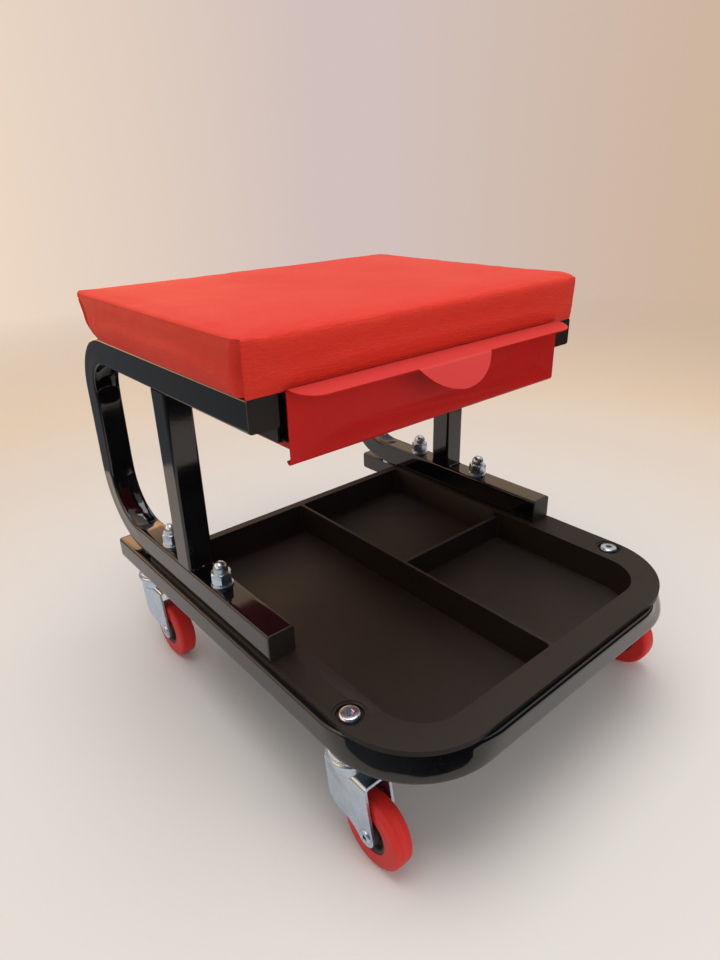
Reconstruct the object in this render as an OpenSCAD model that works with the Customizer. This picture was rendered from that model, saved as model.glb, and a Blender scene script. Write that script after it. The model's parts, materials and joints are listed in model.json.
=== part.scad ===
/* [Overall] */
// Width over the base frame
base_w = 380; // [360:1:420]
// Length from the front of the base frame to the back of the seat frames
overall_l = 481; // [475:1:520]
// Height of a caster's head, from the top of its wheel to the base frame
caster_head_h = 33.1; // [31:0.1:40]

/* [Base frame] */
// How far the base frame's rear ends stay short of the seat frames' backs
base_back_in = 26.5; // [10:0.5:30]
// Width of the base tube
base_tube_w = 25; // [24:0.5:26]
// Height of the base tube
base_tube_h = 22; // [20:0.5:28]
// Wall of the base tube
base_wall = 1.5; // [1:0.1:2]
// Corner radius of the base tube's section
base_edge_r = 3; // [2.5:0.5:5]
// Outer radius of the front corners of the base frame
base_bend_r = 80; // [70:1:100]

/* [Seat frames] */
// How far a seat frame stands in from the base frame's side
seat_frame_in = 5.75; // [5:0.05:9]
// Height of a seat frame
seat_frame_h = 219.3; // [205:0.1:260]
// Side of the square tube
tube_s = 25; // [23:0.5:26]
// Wall of the square tube
tube_wall = 1.5; // [1:0.1:1.8]
// Corner radius of the square tube's section
tube_edge_r = 2.5; // [2:0.1:3]
// Outer radius of the lower bend
low_bend_r = 72; // [60:1:85]
// Outer radius of the upper bend
top_bend_r = 60; // [50:1:75]
// Distance from the front of the base frame to the caps of the feet
foot_front_in = 164.8; // [155:0.1:175]
// Distance from the front of the base frame to the caps of the upper arms
arm_front_in = 161.6; // [150:0.1:170]
// Place of the post's middle, as a share of a foot's length from its front
post_share = 0.4475; // [0.43:0.0005:0.46]
// Leg of the weld bead round a post's ends
weld_r = 2.5; // [1.5:0.5:4]

/* [Tray] */
// Thickness of the tray's flange
flange_t = 4.7; // [4:0.1:6]
// How far the flange stays inside the base frame's outline
flange_in = 4.5; // [3:0.5:6]
// Place of the tray's rear edge, as a share of the base frame's length
tray_end_share = 0.8482; // [0.83:0.0001:0.86]
// Width of the side rims, from the flange's edge to the wells
side_rim = 33.5; // [32.5:0.5:38]
// Width of the front rim, from the flange's edge to the wells
front_rim = 25; // [24:0.5:40]
// Width of the rear rim
rear_rim = 9.5; // [8:0.5:14]
// Depth of the wells, from the flange's top
well_d = 30; // [28:0.5:30]
// Wall of the wells and the dividers
tray_wall = 2.5; // [2:0.1:3]
// How far the well walls lean in from top to floor
well_draft = 2; // [1:0.5:4]
// Plan radius of the wells' front corners
well_corner_r = 38; // [20:1:50]
// Thickness of a divider at its top
divider_t = 3; // [2.5:0.5:5]
// Place of the cross divider, as a share of the wells' length from their front edge
cross_share = 0.5166; // [0.35:0.0001:0.7]
// How far the cross divider stays below the flange's top
cross_drop = 5; // [3:0.5:12]
// Diameter of the pocket round a caster bolt's head
pocket_d = 21.7; // [20:0.1:24]
// Depth of that pocket
pocket_deep = 3.2; // [2:0.1:3.5]

/* [Seat pad] */
// How far the pad overhangs each seat frame
pad_side_out = 5.75; // [4:0.05:12]
// Distance from the back of the seat frames to the back of the pad
pad_back_in = 38; // [25:1:45]
// Height of the pad at its edges
pad_h = 42; // [38:0.5:60]
// Rise of the crown above the edges
pad_crown = 2.5; // [1:0.5:8]
// How far the sides are drawn in at the underside
pad_draw = 7; // [4:0.5:8]
// Radius of the soft top edge
pad_edge_r = 7; // [4:0.5:12]
// Plan radius of the pad's corners
pad_corner_r = 6; // [5:0.5:20]
// Distance from the front of the base frame to the pad's front
pad_front_in = 156; // [150:1:158]
// Thickness of the vinyl cover
cover_t = 1.4; // [1:0.1:2]
// Width of the cover folded under the board
fold_w = 28; // [26:1:32]
// Thickness of the seat board
board_t = 12; // [9:1:15]

/* [Drawer] */
// Gap between the drawer's front panel and the seat frame on each side
panel_side_gap = 3.75; // [2.5:0.05:7]
// Height of the front panel
panel_h = 57; // [54:1:64]
// Distance from the tubes' caps to the panel's face
panel_out = 4.6; // [3.5:0.1:8]
// Depth of the lip along the panel's top edge
lip_d = 21; // [15:0.5:24]
// Slope of the lip
lip_tilt = 8; // [4:1:15]
// Plan radius of the lip's end corners
lip_corner_r = 20; // [10:0.5:20]
// Width of the pull tab where it leaves the lip
tab_w = 84; // [60:1:100]
// How far the pull tab reaches beyond the lip
tab_d = 25; // [18:0.5:30]
// Slope of the pull tab
tab_tilt = 57; // [40:1:75]
// How far the pull tab sits off the middle, to the left
tab_off = 9; // [0:1:20]
// Outer radius of the curled bottom edge
curl_r = 2.8; // [2.5:0.1:3.5]
// Sheet thickness of the drawer
sheet_t = 1.2; // [1:0.1:1.4]
// Height of the drawer's pan
pan_h = 45; // [42:0.5:47]
// Fold radius along the pan's bottom edges
pan_fold_r = 3; // [2:0.5:5]
// How far the drawer pulls out before it meets its stops, as a share of its pan's length
travel_share = 0.72; // [0.5:0.005:0.74]

/* [Runners] */
// How far the runners and the drawer's pan are shorter than the upper arms
runner_back_in = 69.4; // [66:0.1:80]
// Sheet thickness of a runner
runner_t = 1.5; // [1.2:0.1:1.8]
// Depth of a runner, from the tube to its lips' edges
runner_d = 8.5; // [8:0.1:9]
// How far a runner hangs below the tube
runner_drop = 13; // [10:0.5:14]
// Room between the tube and the drawer's side
runner_room = 10; // [9.8:0.1:12]

/* [Fasteners] */
// Thread diameter of the frame and caster bolts
bolt_d = 10; // [8:1:10]
// Width across the flats of their nuts and heads
bolt_flats = 17; // [13:0.5:17]
// Place of the front frame bolts, as a share of a foot's length from its front
front_bolt_share = 0.29; // [0.27:0.0001:0.31]
// Place of the rear frame bolts, as a share of a foot's length from its front
rear_bolt_share = 0.5936; // [0.58:0.0001:0.61]
// Diameter of the flat washers
washer_d = 20; // [18:0.5:22]
// Thickness of the flat washers
washer_t = 2; // [1.5:0.1:2.5]
// Thickness of the spring washers
spring_t = 2.2; // [1.8:0.1:2.6]
// Height of the cap nuts
cap_nut_h = 19; // [17:0.5:20]
// Diameter of a caster bolt's button head
button_d = 17; // [14:0.5:17.5]
// Thread diameter of the seat screws
seat_screw_d = 6; // [5:0.5:8]
// Thread diameter of the runner screws
runner_screw_d = 5; // [4:0.5:5]

/* [Casters] */
// Distance from the front of the base frame to the front casters
caster_front_in = 81; // [78:0.5:90]
// Place of the rear casters, as a share of the base frame's length
rear_caster_share = 0.9021; // [0.9:0.0001:0.92]
// Diameter of the wheels
wheel_d = 61.4; // [58:0.2:62]
// Width of the tyre
tyre_w = 17; // [15:0.5:18]
// Diameter of the wheel's hub, as a share of the wheel's
hub_share = 0.5375; // [0.5:0.0005:0.6]
// Distance from the swivel axis to the axle
trail = 28.5; // [26:0.5:30]
// Width over the fork's legs
fork_w = 25; // [24:0.5:27]
// Sheet thickness of the fork
fork_t = 2.2; // [1.8:0.1:2.4]
// Diameter of the swivel bearing
race_d = 38.4; // [37:0.2:39]

/* [Hidden] */
$fn = 48;

// Overrun of every cut past the face it opens
over = 1;
// Running clearance of a shaft in its bore, on the radius
run_fit = 0.06;
// Clearance of a bolt in its hole, on the radius
hole_fit = 0.25;
// Gap between a sliding member and what guides it
slide_gap = 0.3;

// Heights, from the floor up
caster_h = wheel_d + caster_head_h;
base_z = caster_h;
base_top = base_z + base_tube_h;
flange_top = base_top + flange_t;
foot_top = flange_top + tube_s;
frame_top = flange_top + seat_frame_h;
arm_bottom = frame_top - tube_s;

// Places along the length, with the origin under the middle
front_y = -overall_l / 2;
back_y = overall_l / 2;
base_l = overall_l - base_back_in;
base_rear_y = front_y + base_l;
foot_l = overall_l - foot_front_in;
foot_front_y = back_y - foot_l;
arm_l = overall_l - arm_front_in;
arm_front_y = back_y - arm_l;
post_y = foot_front_y + post_share * foot_l;
seat_frame_w = base_w - 2 * seat_frame_in;
side_x = (seat_frame_w - tube_s) / 2;
tube_in_x = seat_frame_w / 2 - tube_s;
bolt_ys = [foot_front_y + front_bolt_share * foot_l, foot_front_y + rear_bolt_share * foot_l];
caster_ys = [front_y + caster_front_in, front_y + rear_caster_share * base_l];

module roundedRect(w, h, r) {
    square([w - 2 * r, h], center = true);
    square([w, h - 2 * r], center = true);
    for (sx = [-1, 1], sy = [-1, 1])
        translate([sx * (w / 2 - r), sy * (h / 2 - r)]) circle(r = r);
}

// Straight runs along X or Y and a quarter bend, for a section given as a child
module runX(x0, x1, y) {
    translate([x0, y, 0]) rotate([90, 0, 90]) linear_extrude(x1 - x0) children();
}

module runY(x, y0, y1) {
    translate([x, y0, 0]) rotate([-90, 0, 0]) linear_extrude(y1 - y0) children();
}

module bend(x, y, r, turn) {
    translate([x, y, 0]) rotate([0, 0, turn]) rotate_extrude(angle = 90, $fn = 96)
        translate([r, 0]) children();
}

module pairX() {
    children();
    mirror([1, 0, 0]) children();
}

module boltHoles(ys, r, z0, z1) {
    for (sx = [-1, 1], y = ys)
        translate([sx * side_x, y, z0]) cylinder(r = r, h = z1 - z0);
}

module hexPrism(flats, h) {
    cylinder(d = flats / cos(30), h = h, $fn = 6);
}

// Base frame
base_bend_x = base_w / 2 - base_bend_r;
base_bend_y = front_y + base_bend_r;
bolt_hole_r = bolt_d / 2 + hole_fit;

module basePath(inset, extra) {
    w = base_tube_w - 2 * inset;
    h = base_tube_h - 2 * inset;
    translate([0, 0, base_z + base_tube_h / 2]) {
        pairX() {
            runY((base_w - base_tube_w) / 2, base_bend_y, base_rear_y + extra)
                roundedRect(w, h, base_edge_r - inset);
            bend(base_bend_x, base_bend_y, base_bend_r - base_tube_w / 2, -90)
                roundedRect(w, h, base_edge_r - inset);
        }
        runX(-base_bend_x, base_bend_x, front_y + base_tube_w / 2)
            roundedRect(w, h, base_edge_r - inset);
    }
}

module base_frame() {
    color("#111214") difference() {
        basePath(0, 0);
        basePath(base_wall, over);
        boltHoles(bolt_ys, bolt_hole_r, base_z - over, base_top + over);
        boltHoles(caster_ys, bolt_hole_r, base_z - over, base_top + over);
    }
}

// End caps: a plate over the tube's end and a plug inside it
cap_t = 2;
plug_l = 12;
plug_wall = 2;
plug_fit = 0.15;

module endCap(w, h, r, wall) {
    rotate([90, 0, 0]) {
        linear_extrude(cap_t) roundedRect(w, h, r);
        translate([0, 0, -plug_l]) difference() {
            linear_extrude(plug_l)
                roundedRect(w - 2 * (wall + plug_fit), h - 2 * (wall + plug_fit), r - wall / 2);
            translate([0, 0, -over]) linear_extrude(plug_l + over)
                roundedRect(w - 2 * (wall + plug_wall), h - 2 * (wall + plug_wall), r - wall / 2);
        }
    }
}

module base_end_caps() {
    color("#18181a") pairX()
        translate([(base_w - base_tube_w) / 2, base_rear_y, base_z + base_tube_h / 2])
            rotate([0, 0, 180]) endCap(base_tube_w, base_tube_h, base_edge_r, base_wall);
}

module foot_end_caps() {
    color("#18181a") pairX() translate([side_x, foot_front_y + cap_t, flange_top + tube_s / 2])
        endCap(tube_s, tube_s, tube_edge_r, tube_wall);
}

module arm_end_caps() {
    color("#18181a") pairX() translate([side_x, arm_front_y + cap_t, frame_top - tube_s / 2])
        endCap(tube_s, tube_s, tube_edge_r, tube_wall);
}

// Seat frames: one square tube bent into a C that is open to the front
seat_bolt_in = 35;
seat_bolt_ys = [arm_front_y + seat_bolt_in, back_y - top_bend_r - tube_s];
seat_hole_r = seat_screw_d / 2 + hole_fit;

module sidePath(inset, extra) {
    s = tube_s - 2 * inset;
    r = tube_edge_r - inset;
    foot_z = flange_top + tube_s / 2;
    arm_z = frame_top - tube_s / 2;
    rotate([90, 0, 90]) translate([0, 0, side_x]) {
        runX(foot_front_y + cap_t - extra, back_y - low_bend_r, foot_z) roundedRect(s, s, r);
        bend(back_y - low_bend_r, flange_top + low_bend_r, low_bend_r - tube_s / 2, -90)
            roundedRect(s, s, r);
        runY(back_y - tube_s / 2, flange_top + low_bend_r, frame_top - top_bend_r)
            roundedRect(s, s, r);
        bend(back_y - top_bend_r, frame_top - top_bend_r, top_bend_r - tube_s / 2, 0)
            roundedRect(s, s, r);
        runX(arm_front_y + cap_t - extra, back_y - top_bend_r, arm_z) roundedRect(s, s, r);
    }
}

module runnerScrewHoles(r) {
    for (y = runner_screw_ys)
        translate([tube_in_x - over, y, runner_screw_z]) rotate([0, 90, 0])
            cylinder(r = r, h = tube_wall + 2 * over);
}

module seatFrameTube() {
    color("#111214") difference() {
        sidePath(0, 0);
        sidePath(tube_wall, over);
        boltHoles(bolt_ys, bolt_hole_r, flange_top - over, foot_top + over);
        boltHoles(seat_bolt_ys, seat_hole_r, arm_bottom - over, frame_top + over);
        runnerScrewHoles(runner_screw_d / 2 + hole_fit);
    }
}

module left_seat_frame_tube() { mirror([1, 0, 0]) seatFrameTube(); }

module right_seat_frame_tube() { seatFrameTube(); }

module post() {
    color("#111214") translate([side_x, post_y, foot_top]) linear_extrude(arm_bottom - foot_top)
        difference() {
            roundedRect(tube_s, tube_s, tube_edge_r);
            roundedRect(tube_s - 2 * tube_wall, tube_s - 2 * tube_wall, tube_edge_r - tube_wall);
        }
}

module left_post() { mirror([1, 0, 0]) post(); }

module right_post() { post(); }

module weldBead() {
    l = tube_s - 2 * tube_edge_r;
    intersection() {
        translate([-l / 2, 0, 0]) rotate([0, 90, 0]) cylinder(r = weld_r, h = l);
        translate([-l, 0, 0]) cube([2 * l, weld_r, weld_r]);
    }
}

module post_welds() {
    color("#141416") pairX() for (sy = [0, 1], top = [0, 1])
        translate([side_x, post_y, (foot_top + arm_bottom) / 2])
            mirror([0, sy, 0]) mirror([0, 0, top])
                translate([0, tube_s / 2, -(arm_bottom - foot_top) / 2]) weldBead();
}

// Tray: a flange on the base frame, with three wells hanging inside it
tray_w = base_w - 2 * flange_in;
tray_front_y = front_y + flange_in;
tray_l = tray_end_share * base_l - flange_in;
tray_corner_r = base_bend_r - flange_in;
well_w = tray_w - 2 * side_rim;
well_front_y = tray_front_y + front_rim;
well_rear_y = tray_front_y + tray_l - rear_rim;
well_floor = flange_top - well_d;
well_rear_r = 4;
pocket_dish = 2.4;
pocket_dish_deep = 0.7;
cross_y = well_front_y + cross_share * (well_rear_y - well_front_y);
edge_slice = 0.01;

function arcPoints(c, r, from, to, steps) = [for (i = [0:steps])
    let (turn = from + (to - from) * i / steps) c + r * [cos(turn), sin(turn)]];

// Plan of a block with its own corner radius at the front left, front right and rear
module cornered(x0, x1, y0, y1, left_r, right_r, rear_r) {
    polygon(concat(
        arcPoints([x0 + left_r, y0 + left_r], left_r, 180, 270, 12),
        arcPoints([x1 - right_r, y0 + right_r], right_r, 270, 360, 12),
        arcPoints([x1 - rear_r, y1 - rear_r], rear_r, 0, 90, 5),
        arcPoints([x0 + rear_r, y1 - rear_r], rear_r, 90, 180, 5)));
}

// A well: wide at the flange and drawn in towards its floor
module wellBlock(x0, x1, y0, y1, left_r, right_r, z0, z1) {
    hull() {
        translate([0, 0, z1 - edge_slice]) linear_extrude(edge_slice)
            cornered(x0, x1, y0, y1, left_r, right_r, well_rear_r);
        translate([0, 0, z0]) linear_extrude(edge_slice)
            cornered(x0 + well_draft, x1 - well_draft, y0 + well_draft, y1 - well_draft,
                left_r - well_draft / 2, right_r - well_draft / 2, well_rear_r - well_draft / 2);
    }
}

module trayPlate() {
    translate([0, 0, base_top]) linear_extrude(flange_t) {
        translate([-tray_w / 2, tray_front_y + tray_corner_r])
            square([tray_w, tray_l - tray_corner_r]);
        translate([-tray_w / 2 + tray_corner_r, tray_front_y])
            square([tray_w - 2 * tray_corner_r, tray_corner_r + over]);
        for (sx = [-1, 1])
            translate([sx * (tray_w / 2 - tray_corner_r), tray_front_y + tray_corner_r])
                circle(r = tray_corner_r, $fn = 96);
    }
}

module tray() {
    x = well_w / 2;
    d = divider_t / 2;
    small = well_rear_r;
    color("#1d1a18") difference() {
        union() {
            trayPlate();
            wellBlock(-x - tray_wall, x + tray_wall, well_front_y - tray_wall,
                well_rear_y + tray_wall, well_corner_r + tray_wall, well_corner_r + tray_wall,
                well_floor - tray_wall, flange_top);
        }
        wellBlock(-x, -d, well_front_y, well_rear_y, well_corner_r, small,
            well_floor, flange_top + over);
        wellBlock(d, x, well_front_y, cross_y - d, small, well_corner_r,
            well_floor, flange_top + over);
        wellBlock(d, x, cross_y + d, well_rear_y, small, small,
            well_floor, flange_top + over);
        translate([d, cross_y - d - over, flange_top - cross_drop])
            cube([x - well_draft - d, divider_t + 2 * over, cross_drop + over]);
        boltHoles(bolt_ys, bolt_hole_r, base_top - over, flange_top + over);
        boltHoles([caster_ys[0]], bolt_hole_r, base_top - over, flange_top + over);
        boltHoles([caster_ys[0]], pocket_d / 2, flange_top - pocket_deep, flange_top + over);
        boltHoles([caster_ys[0]], pocket_d / 2 + pocket_dish, flange_top - pocket_dish_deep,
            flange_top + over);
    }
}

// Seat pad: rings of a rounded rectangle, stacked from the underside to the crown
pad_w = seat_frame_w + 2 * pad_side_out;
pad_l = overall_l - pad_front_in - pad_back_in;
pad_y = front_y + pad_front_in + pad_l / 2;
pad_z = frame_top;
side_steps = 5;
edge_steps = 4;
crown_steps = 5;
corner_steps = 5;
crown_end_share = 0.9;

function ringPoints(a, b, r, z) = [for (q = [0:3], i = [0:corner_steps])
    let (turn = 90 * (q + i / corner_steps),
        sx = (q == 0 || q == 3) ? 1 : -1,
        sy = (q < 2) ? 1 : -1)
    [sx * (a - r) + r * cos(turn), sy * (b - r) + r * sin(turn), z]];

// One ring's [inset, height], for a pad of height h with draw-in, soft edge and crown
function sideLevel(i, h, draw, edge) = let (s = i / side_steps)
    [draw * pow(1 - s, 2), s * (h - edge)];
function edgeLevel(i, h, edge) = let (turn = 90 * i / edge_steps)
    [edge * (1 - cos(turn)), h - edge + edge * sin(turn)];

function padLevels(h, draw, edge) = concat(
    [for (i = [0:side_steps]) sideLevel(i, h, draw, edge)],
    [for (i = [1:edge_steps]) edgeLevel(i, h, edge)]);

function crownRings(a, b, h, edge, corner, crown) = [for (i = [1:crown_steps])
    let (s = crown_end_share * i / crown_steps)
    ringPoints((a - edge) * (1 - s), (b - edge) * (1 - s), corner * (1 - s),
        h + crown * (1 - pow(1 - s, 2)))];

function ringTriangles(rings, n) = [for (k = [0:rings - 2], i = [0:n - 1], half = [0, 1])
    let (p = k * n + i, q = k * n + (i + 1) % n)
    half == 0 ? [p, q + n, q] : [p, p + n, q + n]];

function capTriangles(first, n, up) = [for (i = [1:n - 2])
    up ? [first, first + i + 1, first + i] : [first, first + i, first + i + 1]];

// The pad's outer form, drawn in by a margin on every side
module padForm(margin) {
    a = pad_w / 2 - margin;
    b = pad_l / 2 - margin;
    h = pad_h - 2 * margin;
    corner = pad_corner_r - margin;
    edge = pad_edge_r - margin;
    lower = [for (level = padLevels(h, pad_draw, edge))
        ringPoints(a - level[0], b - level[0], corner, level[1])];
    upper = crownRings(a, b, h, edge, corner, pad_crown);
    rings = concat(lower, upper);
    n = 4 * (corner_steps + 1);
    count = len(rings);
    translate([0, pad_y, pad_z + margin]) polyhedron(
        points = [for (ring = rings, point = ring) point],
        faces = concat(ringTriangles(count, n), capTriangles(0, n, false),
            capTriangles((count - 1) * n, n, true)));
}

board_fit = 0.4;
board_w = pad_w - 2 * (pad_draw + cover_t + board_fit);
board_l = pad_l - 2 * (pad_draw + cover_t + board_fit);
board_z = pad_z + cover_t;
board_top = board_z + board_t;
tee_d = 19;
tee_t = 1.5;
tee_wall = 1.2;
tee_barrel_r = seat_screw_d / 2 + tee_wall;
foam_gap = 0.3;

module seat_cover() {
    color("#e2412f") difference() {
        padForm(0);
        padForm(cover_t);
        translate([0, pad_y, pad_z - over]) linear_extrude(cover_t + 2 * over)
            roundedRect(pad_w - 2 * (pad_draw + fold_w), pad_l - 2 * (pad_draw + fold_w),
                pad_corner_r);
        boltHoles(seat_bolt_ys, seat_hole_r, pad_z - over, board_z + over);
    }
}

module seat_foam() {
    color("#e8dcb0") difference() {
        padForm(cover_t + foam_gap);
        translate([-pad_w, pad_y - pad_l, pad_z - over])
            cube([2 * pad_w, 2 * pad_l, board_top - pad_z + over]);
        boltHoles(seat_bolt_ys, tee_d / 2 + hole_fit, board_top - over, board_top + tee_t);
        boltHoles(seat_bolt_ys, seat_hole_r, board_top - over, board_top + seat_screw_d);
    }
}

module seat_board() {
    color("#b98f5a") difference() {
        translate([0, pad_y, board_z]) linear_extrude(board_t)
            roundedRect(board_w, board_l, pad_corner_r);
        boltHoles(seat_bolt_ys, tee_barrel_r + hole_fit, board_z - over, board_top + over);
    }
}

module seat_tee_nuts() {
    color("#b9bcc2") difference() {
        union() {
            boltHoles(seat_bolt_ys, tee_d / 2, board_top, board_top + tee_t);
            boltHoles(seat_bolt_ys, tee_barrel_r, board_z + board_t / 4, board_top + tee_t);
        }
        boltHoles(seat_bolt_ys, seat_screw_d / 2 + run_fit, board_z, board_top + tee_t + over);
    }
}

screw_head_share = 0.6;
screw_end = 3;
head_end_share = 0.8;
drive_share = 0.55;
drive_w = 1.2;

// A pan head hanging below its seat, with a cross recess in its outer face
module panHead(r, h) {
    translate([0, 0, -h]) difference() {
        cylinder(r1 = head_end_share * r, r2 = r, h = h);
        for (turn = [0, 90]) rotate([0, 0, turn])
            translate([-drive_share * r, -drive_w / 2, -over])
                cube([2 * drive_share * r, drive_w, h / 2 + over]);
    }
}

// Pan-head screws pass up through the arms into the board
module seat_screws() {
    color("#c3c6cb") {
        atBolts(seat_bolt_ys, arm_bottom) panHead(seat_screw_d, screw_head_share * seat_screw_d);
        boltHoles(seat_bolt_ys, seat_screw_d / 2, arm_bottom, board_top + screw_end);
    }
}

// Runners: open channels on the insides of the arms
runner_z = arm_bottom - runner_drop;
runner_top_gap = 0.6;
runner_h = frame_top - runner_top_gap - runner_z;
runner_l = arm_l - runner_back_in;
runner_in = 4.4;
runner_y = arm_front_y + runner_in;
runner_screw_end_in = 7.5;
runner_screw_ys = [arm_front_y + tube_s, runner_y + runner_l - runner_screw_end_in];
runner_screw_z = frame_top - tube_s / 2;
slot_w = 3;
slot_h = 7;
slot_gap = 9;
slot_count = 4;
stop_h = 8;
stop_up = 9.5;
stop_z = runner_z + stop_up;
stop_in = 8;
stop_y = runner_y + stop_in;

module channel(depth, height, t, l) {
    rotate([-90, 0, 0]) linear_extrude(l) {
        translate([-t, -height]) square([t, height]);
        translate([-depth, -t]) square([depth, t]);
        translate([-depth, -height]) square([depth, t]);
    }
}

module runner() {
    color("#161719") {
        difference() {
            translate([tube_in_x, runner_y, runner_z]) channel(runner_d, runner_h, runner_t, runner_l);
            translate([-runner_t, 0, 0]) runnerScrewHoles(runner_screw_d / 2 + hole_fit);
            for (i = [1:slot_count])
                translate([tube_in_x - runner_t - over, stop_y + i * slot_gap, runner_z + 2 * runner_t])
                    cube([runner_t + 2 * over, slot_w, slot_h]);
        }
        translate([tube_in_x - runner_d + 2 * slide_gap + sheet_t, stop_y, stop_z])
            cube([runner_d - 2 * slide_gap - sheet_t - runner_t / 2, runner_t, stop_h]);
    }
}

module left_runner() { mirror([1, 0, 0]) runner(); }

module right_runner() { runner(); }

screw_head_h = 2.2;
screw_head_d = 9;
runner_screw_l = 12;

module runner_screws() {
    color("#aeb2b8") pairX() for (y = runner_screw_ys)
        translate([tube_in_x - runner_t, y, runner_screw_z]) rotate([0, 90, 0]) {
            panHead(screw_head_d / 2, screw_head_h);
            cylinder(d = runner_screw_d, h = runner_screw_l);
        }
}

// Drawer: a folded pan, a front panel and a sliding member on each side
pan_l = runner_l;
drawer_travel = travel_share * pan_l;
panel_w = 2 * (tube_in_x - panel_side_gap);
pan_x = tube_in_x - runner_room;
panel_y = arm_front_y - panel_out;
pan_y = panel_y + sheet_t;
pan_drop = 9.5;
pan_z = runner_z - pan_drop;
panel_drop = 7;
panel_z = pan_z - panel_drop;
slide_z = runner_z + runner_t + slide_gap;
slide_h = runner_h - 2 * (runner_t + slide_gap);
slide_short = 8;
slide_l = pan_l - slide_short;
slide_side_gap = 0.5;
slide_d = runner_room - runner_t - slide_side_gap;
slide_stop_y = stop_y + runner_t + drawer_travel + slide_gap;
rivet_d = 4;
rivet_head_d = 8;
rivet_head_h = 1.4;
rivet_ys = [pan_y + pan_l / 8, pan_y + pan_l * 7 / 8];

module sideHoles(ys, r, x0, x1, z) {
    for (sx = [-1, 1], y = ys)
        translate([sx * (x0 + x1) / 2, y, z]) rotate([0, 90, 0])
            cylinder(r = r, h = x1 - x0, center = true);
}

module panBlock(x, y0, y1, z, r) {
    translate([0, y0, z]) rotate([90, 0, 0]) translate([0, 0, y0 - y1]) linear_extrude(y1 - y0) {
        translate([-x, r]) square([2 * x, 2 * pan_h]);
        translate([-x + r, 0]) square([2 * (x - r), r + over]);
        for (sx = [-1, 1]) translate([sx * (x - r), r]) circle(r = r);
    }
}

module drawer_pan() {
    color("#9c1c1c") difference() {
        panBlock(pan_x, pan_y, pan_y + pan_l, pan_z, pan_fold_r);
        panBlock(pan_x - sheet_t, pan_y + sheet_t, pan_y + pan_l - sheet_t, pan_z + sheet_t,
            pan_fold_r - sheet_t);
        translate([-2 * pan_x, pan_y - over, pan_z + pan_h])
            cube([4 * pan_x, pan_l + 2 * over, 3 * pan_h]);
        sideHoles(rivet_ys, rivet_d / 2 + run_fit, pan_x - over - sheet_t, pan_x + over,
            runner_screw_z);
    }
}

// Folded front: its section runs from the curled edge up the panel and over into the lip
lip_fold_r = 2.6;
tab_fold_r = 3.2;
curl_steps = 12;
fold_steps = 6;
lip_turn = 90 + lip_tilt;
tab_turn = 90 + tab_tilt;
curl_at = [curl_r, curl_r];
lip_fold_at = [sheet_t - lip_fold_r, panel_h - lip_fold_r];
lip_from = lip_fold_at + lip_fold_r * [cos(lip_turn), sin(lip_turn)];
lip_flat = (lip_d + lip_from[0]) / cos(lip_tilt);
lip_to = lip_from - lip_flat * [cos(lip_tilt), sin(lip_tilt)];
tab_fold_at = lip_to - tab_fold_r * [cos(lip_turn), sin(lip_turn)];
tab_from = tab_fold_at + tab_fold_r * [cos(tab_turn), sin(tab_turn)];
tab_flat = tab_d - tab_fold_r * PI * (tab_tilt - lip_tilt) / 180;
tab_to = tab_from - tab_flat * [cos(tab_tilt), sin(tab_tilt)];
tab_r = (tab_w * tab_w / 4 + tab_d * tab_d) / (2 * tab_d);
weld_spot_r = 12;
weld_spot_deep = 0.5;
weld_spot_shares = [-0.34, 0.07, 0.42];

// The section's inner and outer outlines, one sheet thickness apart
panel_section = concat(
    arcPoints(curl_at, curl_r - sheet_t, 360, 180, curl_steps),
    arcPoints(lip_fold_at, lip_fold_r, 0, lip_turn, fold_steps),
    [lip_to, lip_to - sheet_t * [cos(lip_turn), sin(lip_turn)]],
    arcPoints(lip_fold_at, lip_fold_r - sheet_t, lip_turn, 0, fold_steps),
    arcPoints(curl_at, curl_r, 180, 360, curl_steps));

tab_section = concat(
    [lip_to + lip_flat / 2 * [cos(lip_tilt), sin(lip_tilt)]],
    arcPoints(tab_fold_at, tab_fold_r, lip_turn, tab_turn, fold_steps),
    [tab_to, tab_to - sheet_t * [cos(tab_turn), sin(tab_turn)]],
    arcPoints(tab_fold_at, tab_fold_r - sheet_t, tab_turn, lip_turn, fold_steps),
    [lip_to + lip_flat / 2 * [cos(lip_tilt), sin(lip_tilt)]
        - sheet_t * [cos(lip_turn), sin(lip_turn)]]);

// A section in Y and Z, drawn out along X over a given width
module acrossX(w) {
    translate([-w / 2, panel_y, panel_z]) rotate([90, 0, 90]) linear_extrude(w) children();
}

// Puts its children at a point of the section, in a plane that slopes down to the front
module onSlope(at, tilt) {
    translate([0, panel_y + at[0], panel_z + at[1]]) rotate([tilt, 0, 0]) children();
}

// What is cut away outside the lip's quarter-round front corners
module lipCorners() {
    r = min(lip_corner_r, lip_flat);
    pairX() onSlope(lip_to, lip_tilt) linear_extrude(4 * sheet_t, center = true) difference() {
        translate([panel_w / 2 - r, -over]) square([r + over, r + over]);
        translate([panel_w / 2 - r, r]) circle(r = r, $fn = 64);
    }
}

// The tab's plan is a segment of a circle
module tab() {
    intersection() {
        acrossX(2 * tab_r) polygon(tab_section);
        onSlope(tab_to, tab_tilt) translate([0, tab_r, 0])
            cylinder(r = tab_r, h = 4 * tab_d, center = true, $fn = 96);
    }
}

module drawer_front() {
    color("#c3202a") difference() {
        union() {
            difference() {
                acrossX(panel_w) polygon(panel_section);
                lipCorners();
            }
            translate([-tab_off, 0, 0]) tab();
        }
        for (share = weld_spot_shares)
            translate([share * panel_w, panel_y - weld_spot_r + weld_spot_deep,
                pan_z + pan_h / 4]) sphere(r = weld_spot_r);
    }
}

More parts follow.
